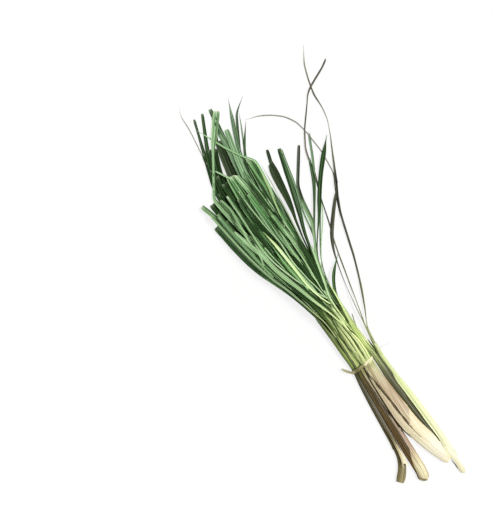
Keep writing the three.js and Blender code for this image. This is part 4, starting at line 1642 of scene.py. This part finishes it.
LEAVES = [
    Leaf("tuft_blade_1", "shaded_stalk", "dark_blade", DARK, NARROW_POINT, lean=-6,
        route=way("63,-8.2 120,-4 190,3 245,1 262,-7 281,-16 293,-30"),
        widths=way("63,1.5 180,3 250,3 278,2.4 293,1.4")),
    Leaf("tuft_blade_2", "short_stalk", "dark_blade", DARK, lean=8),
    Leaf("tuft_blade_3", "thick_stalk", "fresh_blade", GREYISH, NARROW_POINT, lean=-8,
        widths=way("65,2 180,4 240,4.2 280,3.4 300,1")),
    Leaf("tuft_blade_4", "short_stalk", "dark_blade", DARK, lean=6),
    Leaf("tuft_blade_5", "thick_stalk", "fresh_blade", DARK, NARROW_POINT),
    Leaf("tuft_blade_6", "thick_stalk", "fresh_blade", DARK, lean=4),
    Leaf("tuft_blade_7", "brown_stalk", "dark_blade", OLIVE_BLADE, lean=-4),
    Leaf("tuft_blade_8", "thick_stalk", "dark_blade", GREYISH, lean=8),
    Leaf("dry_leaf_arc", "rooted_stalk", "dry_leaf", DRY_ARC, ROLLED_POINT, twist=160,
        route=way("26,-21.4 36,-25.4 50,-30.4 80,-40.8 110,-49.4 140,-56.4 160,-62.6 182,-70.4 205,-70.6 "
            "230,-67 243,-63.5 254,-56 262,-45 268,-33 271,-20"),
        widths=way("26,1 160,1.6 200,1.8 240,1.7 271,1.7")),
    Leaf("dry_leaf_long", "rooted_stalk", "dry_leaf", DRY_LONG, Blade(Fold.ROLLED, Tip.POINTED, across=7),
        twist=620,
        route=way("26,-21.2 36,-25.2 50,-30.5 65,-36 80,-41 100,-47.4 120,-52.4 140,-57 160,-64 180,-72 "
            "200,-80 216,-87 230,-92 243,-93.5 258,-92.6 275,-96 290,-100.4 307,-109"),
        widths=way("26,1.5 60,2.2 90,2.6 120,3.1 150,4.2 174,4.4 184,2.8 200,2 225,1.3 245,1.3 258,2.3 "
            "275,1.8 300,2 307,2")),
    Leaf("dry_leaf_crossing", "rooted_stalk", "dry_leaf", DRY_CROSSING,
        Blade(Fold.ROLLED, Tip.TORN, across=7), twist=-540,
        route=way("26,-20.8 60,-27 90,-32 108,-34.6 125,-37.6 140,-41.4 150,-43.4 170,-47.6 180,-50.6 "
            "192,-54.4 206,-56 216,-58.6 232,-67.4 248,-79 262,-88.6 266,-94 272,-104 278,-114.5 "
            "284.5,-122.5"),
        widths=way("26,1.4 80,1.8 125,1.8 150,2.1 185,2.5 206,2.7 232,2.1 260,2.2 266,2.8 276,2.2 "
            "284,2.6")),
    Leaf("dry_leaf_twisted", "rooted_stalk", "dry_leaf", DRY_TWISTED, Blade(tip=Tip.POINTED, across=7),
        twist=230, widths=way("26,1.3 90,1.8 110,2.2 122,3.8 136,4.2 155,3.8 172,3")),
    Leaf("side_blade_1", "shaded_stalk", "fresh_blade", GREYISH, NARROW_POINT, lean=-8,
        widths=way("63,1 150,1.5 205,1.6")),
    Leaf("side_blade_2", "shaded_stalk", "dark_blade", DARK, NARROW_POINT, lean=6,
        widths=way("63,1 145,1.5 162,4.4 190,4.8 208,4.6 217,3")),
    Leaf("side_blade_3", "shaded_stalk", "dark_blade", DARK, Blade(tip=Tip.TORN), lean=6,
        widths=way("63,1.2 150,1.9 175,2.6 190,3.4 206,2.4")),
    Leaf("side_blade_4", "thick_stalk", "pale_blade", PALE_TURNED, Blade(pale_cut=0.0), lean=-8,
        route=way("65,-3.6 115,-13 148,-27.5 176,-29.5 188,-33.5 222,-54.5"),
        widths=way("65,2 130,2.6 150,4.4 178,5.2 186,3.4 222,3"), tone=0.4),
    Leaf("side_blade_short", "shaded_stalk", "fresh_blade", DARK, NARROW_POINT,
        widths=way("63,2.2 82,3.4 100,3.4 108,2"), tone=0.8),
    Leaf("side_blade_5", "thick_stalk", "dark_blade", DARK, RIDGED, lean=-10,
        route=way("65,-3.8 115,-10.2 140,-14.4 150,-17 160,-20.2 180,-25 200,-29.6 215,-32.8 229,-35.4"),
        widths=way("65,1.8 115,2.6 140,3.2 160,4.6 180,5.6 200,6.4 222,5.2 229,4.2"), tone=0.3),
    Leaf("side_blade_6", "thick_stalk", "dark_blade", OLIVE_BLADE, Blade(pale_cut=0.0),
        route=way("65,-4 120,-9 150,-12 170,-15.6 200,-18.8 218,-20.6 234,-24.4"),
        widths=way("65,1.6 150,1.6 170,3 200,4 226,3.6 234,3")),
    Leaf("side_blade_7", "thick_stalk", "dark_blade", OLIVE_BLADE, RIGHT_SLANT, lean=4,
        route=way("65,-4 110,-8.4 140,-11 158,-13.8 170,-15.9 182,-17.4 200,-18.4 221,-20.2"),
        widths=way("65,1.6 140,1.4 158,2.2 170,4.6 182,6.4 195,8 208,9 220,7.6"), tone=0.4),
    Leaf("inner_blade_1", "thick_stalk", "dark_blade", DEEP_SHADE),
    Leaf("inner_blade_2", "short_stalk", "dark_blade", DEEP_SHADE, lean=8),
    Leaf("inner_blade_3", "brown_stalk", "fresh_blade", FRESH, lean=-8),
    Leaf("inner_blade_4", "thick_stalk", "dark_blade", DARK),
    Leaf("inner_blade_5", "thick_stalk", "fresh_blade", FRESH),
    Leaf("inner_blade_6", "brown_stalk", "dark_blade", DARK),
    Leaf("inner_blade_7", "thick_stalk", "fresh_blade", FRESH, lean=-4),
    Leaf("side_blade_8", "thick_stalk", "dry_leaf", DRY_GREEN, LEVEL_POINT,
        widths=way("65,0.8 160,1.2 225,1")),
    Leaf("top_blade_straight", "thick_stalk", "fresh_blade", FRESH, SLANT, lean=-4),
    Leaf("top_blade_bent_thin", "thick_stalk", "pale_blade", PALE, NARROW_POINT,
        route=way("52,-2 120,-2 165,-2.5 200,-8 230,-9 240,0 256,11 286,27"),
        widths=way("52,1.8 150,2 215,2.4 240,2 286,1.8")),
    Leaf("top_blade_dark", "thick_stalk", "dark_blade", DARK, lean=6),
    Leaf("top_blade_yellow", "brown_stalk", "yellow_blade", YELLOW, NARROW_POINT, lean=-8,
        widths=way("44,2.2 100,3 130,4.4 150,3.6 160,2")),
    Leaf("top_blade_middle", "thick_stalk", "fresh_blade", FRESH, PALE_SQUARE),
    Leaf("top_blade_narrow", "brown_stalk", "pale_blade", PALE, PALE_SQUARE,
        widths=way("46,1.8 120,2.4 170,3 205,2.8 213,2.6")),
    Leaf("top_blade_blunt", "brown_stalk", "pale_blade", PALE, PALE_SQUARE,
        widths=way("46,2 110,3 150,3.8 167,3.2")),
    Leaf("top_blade_bent_wide", "brown_stalk", "pale_blade", PALE, PALE_SQUARE, lean=-6,
        route=way("47,8.6 105,21 160,35 200,43 217,47 240,34 262,22 293,0"),
        widths=way("47,2.2 120,3 170,4.2 208,6 217,3.2 235,2.5 260,2.8 268,6.4 293,7")),
    Leaf("top_blade_edge", "short_stalk", "fresh_blade", GREYISH, lean=-6, tone=0.7),
    Leaf("top_blade_light", "shaded_stalk", "pale_blade", PALE, SLANT, lean=-6,
        widths=way("44,2.2 110,2.8 150,4 190,5.8 227,5.4"), tone=0.75),
    Leaf("top_blade_upper", "brown_stalk", "fresh_blade", GREYISH, lean=-6, tone=0.6),
    Leaf("top_blade_pale", "thick_stalk", "pale_blade", PALE, PALE_SQUARE, lean=-10,
        widths=way("54,2 100,2.6 140,3.6 180,4.6 217,5")),
]

# Narrow blades inside the mass, from the lowest to the highest. The darkest are painted shade in the gaps.
STRANDS = [
    *strands("deep_blade", "dark_blade", DEEP_SHADE, """
        1 10 80,4,3 130,14,3 180,24,2 214,31,1.5 236,30,1
        2 8 80,8,3 120,22,3 165,36,2 205,46,1"""),
    Strand("deep_blade_3", "dark_blade", DEEP_SHADE, 8,
        way("48,-5,2 75,-5.6,2 95,-5,3 130,-5,3 180,-5,2 226,-5,1"), root_width=0.9),
    *strands("deep_blade", "dark_blade", DEEP_SHADE, """
        4 10 196,36,2 222,34,2 244,29,1 262,23,1
        5 8 196,42,2 222,40,2 244,35,1 262,31,1
        6 8 60,10,3 90,18.5,2 130,33,1 185,48,1
        11 8 146,32,2 180,34.5,2 200,36,2 220,37,1.5
        7 15 36,9,2 55,6.5,2 80,6,2 110,8,2"""),
    Strand("deep_blade_8", "dark_blade", OLIVE_BLADE, 8, way("205,17,2 226,15,2 246,13,1.5 262,12,1")),
    *strands("deep_blade", "dark_blade", DEEP_SHADE, """
        9 9 70,0,3 96,1,3 130,3,3 170,5,2 212,7,1.5
        12 3.4 128,21.4,1.5 150,25.2,1.2 172,27,1 204,28.4,1
        13 2.2 136,27.6,1.5 156,31.4,1.2 180,32,1 206,31.8,1"""),
    Strand("deep_blade_10", "dark_blade", DEEP_SHADE, 7,
        way("30,9.5,3 50,13.2,2.5 70,16.4,1.5 90,23,1.5 112,31,1 150,42,1"), root_width=0.15),
    Strand("tuft_strand_1", "pale_blade", GREYISH, 6, way("205,12,3 235,10,4 258,8,3 280,9,1"), tone=0.45),
    Strand("tuft_strand_2", "dark_blade", GREYISH, 2.2, way("235,3,2 258,-4,2 276,-10,1 295,-15,1"),
        blade=NARROW_POINT),
    Strand("tuft_strand_3", "pale_blade", GREYISH, 1.5, way("240,-2,1 256,-9,1 270,-15,1 282,-19,1"),
        blade=NARROW_POINT),
    Strand("tuft_strand_5", "fresh_blade", DARK, 3.2, way("218,24,4 240,21,3 262,17,2 290,6,1")),
    Strand("mass_strand_2", "dark_blade", DARK, 3, way("80,5 120,15 160,24 205,26")),
    *strands("mass_strand", "fresh_blade", FRESH, """
        3 3 75,6 110,17 150,26 190,36 213,42
        5 3.2 60,9 95,22 130,35 165,45 202,51
        9 2.6 150,-3 180,-4 200,-4 232,-2""", over=0.35),
]

# Blades that lie on top of the thin ones. The darkest are painted shade in the gaps between blades.
TOP_STRANDS = [
    Strand("top_strand_1", "dark_blade", DEEP_SHADE, 4,
        way("44,7.5 60,10.3 70,12.2 80,15 90,20 100,23.4 112,26.5"), root_width=0.4, **PRESSED),
    *strands("top_strand", "dark_blade", DEEP_SHADE, """
        2 5 84,-2.6 95,-3.4 110,-5.4 124,-5.8 150,-6.5
        3 4.6 84,1.5 92,3.4 100,3 112,3.2 122,5 140,7
        4 2 50,-1 60,0.4 70,3.7 80,8 90,12 104,17""", **PRESSED),
    *strands("top_strand", "dark_blade", DEEP_SHADE, """
        5 2.2 44,-8.4 60,-7.8 70,-8.7 80,-8 96,-10
        6 2.4 118,18 128,21.5 140,23.8 155,25 170,26
        7 2.2 150,27.5 160,26 172,28.5 190,30 204,30.6
        8 2.2 122,38.5 140,38.6 150,37.6 160,33 172,36
        9 2.6 176,4.6 190,0.6 204,3.6 216,5 226,7""", root_width=0.5, **PRESSED),
    Strand("top_strand_10", "fresh_blade", FRESH, 4,
        way("118,2.5 135,6.4 150,8.6 165,10.2 180,11.8 192,13.6 204,14.6"), over=0.15, tone=0.75),
    Strand("top_strand_11", "pale_blade", PALE, 1.6,
        way("76,-1 88,6.5 100,13.3 110,18.2 120,21.8 130,26.3 140,28.7 150,31 165,31.2 190,32.6 213,34"),
        blade=PALE_SQUARE),
    Strand("top_strand_12", "pale_blade", PALE, 2.4,
        way("38,10.6 48,11.4 56,12.5 62,14.3 70,17.6 80,20.6 90,24.5 100,27.5 120,37 142,44 162,49 205,58"),
        root_width=0.4, tucked=0.8),
    Strand("top_strand_13", "pale_blade", PALE, 4,
        way("45,-2 60,2.9 70,7 80,11.5 90,15 100,18.7 110,23.2 120,27 130,30.5 140,32 150,35.4 162,40 "
            "178,46"), root_width=0.35, tone=0.6),
    Strand("top_strand_14", "pale_blade", PALE, 1.9,
        way("48,-6 60,-4.8 72,-3.4 82,-4.4 90,-6.8 100,-8.2 112,-10.4 128,-14")),
    Strand("top_strand_15", "pale_blade", PALE, 1.5, way("84,-1 95,-0.6 110,-0.6 120,-0.5 130,0.4 146,1.2"),
        tone=0.7),
    Strand("top_strand_16", "pale_blade", YELLOW, 2,
        way("16,-13,11.5 32,-11.6,11.8 48,-11,12 62,-11,11.2 76,-11.2,10.8 92,-10.4,9.8"),
        blade=NARROW_POINT),
    Strand("top_strand_17", "yellow_blade", YELLOW, 3,
        way("70,-1 80,4.3 90,7.7 100,10 110,11.3 120,12.3 130,14 140,15.2 150,17.2 164,20.6"),
        root_width=0.35, tone=0.6, blade=NARROW_POINT),
    Strand("top_strand_18", "pale_blade", PALE, 1.4,
        way("76,-0.6 90,2 100,5.5 110,7.4 118,9.5 128,10.7 145,11 155,13 165,15.4 178,17.6 192,19.8 "
            "212,21.5"), reach=3),
    Strand("top_strand_19", "pale_blade", PALE, 2.2, way("112,1.6 122,4 132,5.3 146,6.4 160,6.8"), tone=0.6,
        blade=NARROW_POINT),
    Strand("top_strand_20", "pale_blade", PALE, 1.7, way("224,20 231,25 241,31.5"), over=0.3, reach=2),
    Strand("top_strand_21", "yellow_blade", YELLOW, 1.5, way("158,-0.5 178,-3.4 200,-6.4 224,-8"), **PRESSED),
    Strand("top_strand_22", "pale_blade", PALE, 1.5, way("176,1.2 190,2.6 205,4.8 216,5 226,4"),
        blade=NARROW_POINT),
    Strand("top_strand_23", "pale_blade", PALE, 2.2,
        way("130,38.6 140,35.6 150,35 162,38.8 172,37 184,37.8 200,37 212,41"), over=0.15, tone=0.25),
    Strand("top_strand_24", "pale_blade", GREYISH, 3.2, way("120,35 150,41.5 180,48 199,51.5"), tone=0.85),
    Strand("side_strand_1", "pale_blade", PALE, 1.3,
        way("100,-10,5 125,-24,3 150,-41,1 172,-50,1 192,-62,1"), blade=NARROW_POINT),
    Strand("side_strand_2", "pale_blade", GREYISH, 2,
        way("160,-24,3 175,-28,3 192,-31.5,2.5 212,-34.5,2 227,-37,1.5"), tone=0.3),
    Strand("side_strand_3", "fresh_blade", GREYISH, 1.8, way("110,-10,5 135,-22,3 160,-24,3 184,-29,3"),
        blade=NARROW_POINT),
    Strand("side_strand_4", "dark_blade", GREYISH, 2.4,
        way("150,-31,1 170,-43,1 190,-54,1 206,-61,1 218,-65.4,1 229,-70,1"), tone=0.35,
        blade=Blade(tip=Tip.TORN, pale_cut=0.0)),
    Strand("top_strand_25", "dark_blade", DEEP_SHADE, 1.7, way("170,14.4 190,16.5 204,18.2 222,18.8"), **PRESSED),
    Strand("top_strand_26", "fresh_blade", FRESH, 3.2, way("92,11 104,13.4 118,16.4 130,18.2 146,20"),
        root_width=0.3, tone=0.75, **PRESSED),
    Strand("top_strand_27", "dark_blade", DEEP_SHADE, 4.2, way("174,3 190,5 204,6.8 219,7.6"), root_width=0.15,
        **PRESSED),
    Strand("top_strand_28", "dark_blade", DEEP_SHADE, 2, way("136,2.4 156,5.4 172,6.8 190,9"), root_width=0.2,
        **PRESSED),
    Strand("top_strand_31", "pale_blade", GREYISH, 3, way("146,11 162,13.2 180,14.4 198,16.6"),
        root_width=0.3, tone=0.9, **PRESSED),
    Strand("top_strand_32", "pale_blade", GREYISH, 2.8, way("126,6.4 142,7.6 156,9.6 172,10.6"),
        root_width=0.3, tone=1.0, **PRESSED),
    Strand("top_strand_29", "dark_blade", DEEP_SHADE, 3.2, way("134,21 150,24.6 166,25.4 188,27.4"),
        root_width=0.2, **PRESSED),
    Strand("top_strand_30", "dark_blade", DARK, 3, way("158,-4.4 172,-7 186,-8.4 198,-9"), root_width=0.2,
        **PRESSED),
    # Painted light: a pale flat strip laid over the rooted stalk's left flank, which would be in shade.
    Strand("rooted_inner_sheath", "green_stalk", ROOTED, 5.2,
        way("-127,-31.6,4.6 -116,-31.4,5.4 -106,-31.2,6 -94,-29.9,6.2 -80,-28.8,6.2 -66,-27.3,6.2 "
            "-50,-25.4,6 -30,-23.3,5.4 -12,-21.8,5"), root_width=0.7, tone=0.6, blade=LEVEL_POINT),
    # Painted shade: a dark olive strip laid low in the gap between the shaded and rooted stalks.
    Strand("shaded_inner_sheath", "green_stalk", OLIVE, 5.5,
        way("-107,-29,1.6 -80,-25.4,2 -60,-23,2 -40,-21.4,2 -20,-19.8,2 0,-18,2 18,-17,2"), root_width=0.2,
        blade=LEVEL_POINT),
]

DRY_STRANDS = [
    Strand("thin_stub", "dry_leaf", DRY_CROSSING, 1.5, way("28,-11,9 34,-12.2,8.6 42,-14,8 51,-16,7"),
        root_width=1.0, reach=2, blade=ROLLED_TEAR),
    Strand("tie_fibre", "tie_strip", DRY_ARC, 0.9, way("3,-18,0.4 5,-22,0.4 5.4,-27,0.8 3.6,-34,0.5"),
        root_width=1.0, reach=2, blade=ROLLED_POINT),
    Strand("tuft_fibre", "dry_leaf", DRY_ARC, 1.2,
        way("235,35,2 262,35,1 284,33.5,1 299,33,1 306,35,1.5 314,31,1"), blade=ROLLED_POINT),
]

CREASES = [
    # Painted highlights: pale lines along the lit ridges of the sheaths above the tie.
    Crease("pale_margin_1", "green_stalk", PALE, 1.7, way("3,1.4 20,2 36,3.2 50,5")),
    Crease("pale_margin_2", "green_stalk", PALE, 1.5, way("3,-2.2 20,-1.8 36,-0.8 48,0.6")),
    # Painted shade: a dark olive line in a crease between the sheaths above the tie.
    Crease("green_margin_5", "green_stalk", GREEN_CREASE_SHADE, 0.9, way("3,-0.3 20,0.1 34,1.2 46,2.6")),
    # Painted shade: dark brown lines in the shadowed gaps between the thick, tan and brown sheaths.
    Crease("brown_margin_2", "cream_stalk", BROWN_CREASE_SHADE, 2.3,
        way("-82,-11 -70,-8.8 -60,-7.2 -50,-6 -40,-4.6 -30,-3 -20,-1.2 -10,0.7 -3,1.5")),
    Crease("brown_margin_3", "brown_stalk", BROWN_CREASE_SHADE, 1.6, way("-50,6.4 -30,7.2 -20,8.1 -10,8.8 -3,9")),
    Crease("brown_margin_4", "brown_stalk", BROWN_CREASE_SHADE, 1.7, way("-62,2.2 -46,3.4 -30,4.4 -16,5.2 -3,6")),
    Crease("brown_margin_5", "brown_stalk", BROWN_CREASE_SHADE, 1.7, way("-86,-1.6 -76,-0.2 -62,0.8 -46,1.2")),
    # Painted shade: a dark olive strip on the rooted stalk's flank, which widens the shaded wedge beside it.
    Crease("rooted_margin", "green_stalk", OLIVE, 2.2,
        way("-84,-25.6 -70,-24 -60,-22.8 -40,-20.9 -20,-19.7 -6,-19.2")),
    # Painted shade: a dark line along the root stub's upper side, which faces away from the lamp.
    Crease("stub_margin", "green_stalk", BROWN_CREASE_SHADE, 1,
        way("-145.5,-31.3 -140,-30.5 -134,-30 -128,-29.4 -126.6,-31.6")),
    # Painted shade: dark olive lines in the creases between the sheaths above the tie.
    Crease("green_margin_1", "green_stalk", GREEN_CREASE_SHADE, 2,
        way("3,7.4 10,8.2 20,10 30,11.2 40,12.2 54,13.6")),
    Crease("green_margin_2", "green_stalk", GREEN_CREASE_SHADE, 1.9,
        way("2,2.4 10,3 20,4.6 30,6 40,7.4 50,9 62,10")),
    Crease("green_margin_3", "green_stalk", GREEN_CREASE_SHADE, 1.7,
        way("4,-4.6 14,-4.2 24,-3.6 32,-2.6 40,-1 50,-0.2 60,0.4")),
    Crease("green_margin_4", "green_stalk", GREEN_CREASE_SHADE, 1.7, way("25,-8.6 30,-7.3 38,-5.2 46,-4")),
]


class Studio:
    """The surface, the lamps and the camera."""

    HALF = 3.0  # metres from the middle of the surface to each edge
    SUNWARD = (-0.1, -0.44, 0.89)
    SKY = 0.34  # strength of the sky as a light
    FILM = 24.0  # height of the camera's film in millimetres
    DISTANCE = 1.2  # metres from the camera to the bunch
    VIEW = 0.507  # metres that it sees at that distance
    LOOKS_AT = (154.2, 46.1, 0.0)  # millimetres from the middle of the tie
    TOP = 0.008  # height in metres at which the view has that size
    TURN = -120  # degrees that the camera is turned about its line of sight

    def build(self) -> None:
        """Builds the whole studio."""
        self.floor()
        self.lamps()
        self.camera()

    def floor(self) -> None:
        """A plain pale surface under the bunch, which keeps its shadow."""
        mesh = bpy.data.meshes.new("surface")
        corners = [(self.HALF * a, self.HALF * b, 0) for a, b in ((-1, -1), (1, -1), (1, 1), (-1, 1))]
        mesh.from_pydata(corners, [], [(0, 1, 2, 3)])
        floor = placed("surface", mesh)
        material = bpy.data.materials.new("pale_surface")
        tree = bare_tree(material)
        path = add_node(tree, "LightPath").outputs
        seen = add_node(tree, "Math", {0: path["Is Camera Ray"], 1: path["Is Glossy Ray"]},
                        operation="MAXIMUM")
        share = add_node(tree, "Math", {0: seen.outputs[0], 1: 0.8}, operation="MULTIPLY")
        matt = add_node(tree, "BsdfDiffuse", {"Color": "#f4f4f2"})
        white = add_node(tree, "Emission", {"Color": "#ffffff", "Strength": 1.02})
        both = add_node(tree, "MixShader", {0: share.outputs[0], 1: matt.outputs[0], 2: white.outputs[0]})
        add_node(tree, "OutputMaterial", {"Surface": both.outputs[0]})
        floor.data.materials.append(material)

    def lamps(self) -> None:
        """One broad soft lamp from the right and a pale sky."""
        lamp = bpy.data.lights.new("window", "SUN")
        lamp.energy, lamp.angle = 2.5, math.radians(16)
        placed("window", lamp).rotation_euler = Vector(self.SUNWARD).to_track_quat("Z", "Y").to_euler()
        world = bpy.data.worlds.new("pale_room")
        tree = bare_tree(world)
        seen = add_node(tree, "LightPath").outputs["Is Camera Ray"]
        level = add_node(tree, "MapRange", {"Value": seen, "To Min": self.SKY, "To Max": 1.0})
        sky = add_node(tree, "Background", {"Color": "#ffffff", "Strength": level.outputs[0]})
        add_node(tree, "OutputWorld", {"Surface": sky.outputs[0]})
        bpy.context.scene.world = world

    def camera(self) -> None:
        """A camera straight above, turned so that the bunch lies from lower right to upper left."""
        data = bpy.data.cameras.new("camera")
        data.sensor_fit, data.sensor_height = "VERTICAL", self.FILM
        data.lens = self.FILM * self.DISTANCE / self.VIEW
        data.clip_end = 10.0
        camera = placed("camera", data)
        middle = TIE_MIDDLE + np.array(self.LOOKS_AT) * METRES
        camera.location = (middle[0], middle[1], self.DISTANCE + self.TOP)
        camera.rotation_euler = (0.0, 0.0, math.radians(self.TURN))
        bpy.context.scene.camera = camera


class Bunch:
    """The whole tied bunch."""

    LOWER = way("50,-9 110,-7 150,-7 200,-7 232,-7")  # right edge of where the thin strands lie
    UPPER = way("50,13 95,25 140,43 192,56 215,60")  # left edge
    THIN_STRANDS = 36
    SEED = 5

    def __init__(self) -> None:
        """Starts with the random numbers, the height map and the materials that every piece uses."""
        self.rng = np.random.default_rng(self.SEED)
        self.pile = Pile()
        parts = [*STALKS, *(w for s in STALKS for w in s.wraps), *LEAVES, *CREASES, *STRANDS, *TOP_STRANDS,
                 *DRY_STRANDS]
        finishes = {part.finish for part in parts} | {STRAW, FLAP}
        self.skins = {finish: finish.make() for finish in sorted(finishes, key=lambda f: f.name)}

    def thin_strands(self) -> list[Strand]:
        """Thin strands among the blades, which follow the way that the blades spread: painted shade and
        painted highlights.

        Returns:
            Dark and pale strands by turns.
        """
        made, rng = [], self.rng
        for index in range(self.THIN_STRANDS):
            start = rng.uniform(62, 150)
            end = min(start + rng.uniform(45, 100), rng.uniform(190, 224))
            share, drift = rng.uniform(0.04, 0.96), rng.uniform(-0.12, 0.12)
            x = np.linspace(start, end, 6)
            across = np.clip(share + drift * (x - start) / 100, 0.02, 0.98)
            low, high = np.interp(x, *zip(*self.LOWER)), np.interp(x, *zip(*self.UPPER))
            path = tuple(zip(x.tolist(), (low + across * (high - low)).tolist()))
            # Dark strands are painted shade in the gaps between blades, pale ones painted highlights on leaf
            # edges.
            slot, finish = (("dark_blade", DEEP_SHADE), ("pale_blade", PALE), ("fresh_blade", FRESH))[index % 3]
            made.append(Strand(f"thin_strand_{index + 1}", slot, finish, float(rng.uniform(0.9, 1.7)), path,
                               root_width=0.3, blade=NARROW_POINT))
        return made

    def leaves(self) -> list[bpy.types.Object]:
        """Builds the leaves from the lowest to the highest.

        Returns:
            Their pieces.
        """
        stalks = {stalk.node: stalk for stalk in STALKS}
        layers = dict.fromkeys(stalks, 0)
        pieces = []
        for leaf in LEAVES:
            layers[leaf.stalk] += 1
            leaf.grow(self.rng, layers[leaf.stalk])
            pieces.append(leaf.build(stalks[leaf.stalk], self.skins, self.pile))
        return pieces

    def build(self) -> None:
        """Builds every stalk, leaf and strand and the tie, and reports each piece."""
        pieces = [piece for stalk in STALKS for piece in stalk.build(self.skins)]
        pieces += self.leaves()
        mound, ground = Mound(self.pile), Ground(pieces)
        pieces += [crease.build(self.skins, ground) for crease in CREASES]
        for strand in STRANDS + self.thin_strands() + TOP_STRANDS + DRY_STRANDS:
            strand.tone = float(strand.tone + self.rng.uniform(-0.2, 0.2))
            pieces.append(strand.build(self.skins, self.pile))
        for piece in pieces:
            mound.settle(piece)
        pieces.append(LooseSheath("loose_sheath", "dry_sheath", FLAP).build(self.skins))
        pieces.append(Tie("tie", "tie_strip", STRAW).build(self.skins))
        for piece in pieces:
            LOG.info("%s: %d faces", piece.name, len(piece.data.polygons))


def main() -> None:
    """Builds the studio and the bunch, and notes the sizes."""
    logging.basicConfig(level=logging.INFO, format="%(name)s: %(message)s")
    Studio().build()
    Bunch().build()
    scene = bpy.context.scene
    scene.view_settings.view_transform = "Standard"


if __name__ == "__main__":
    main()
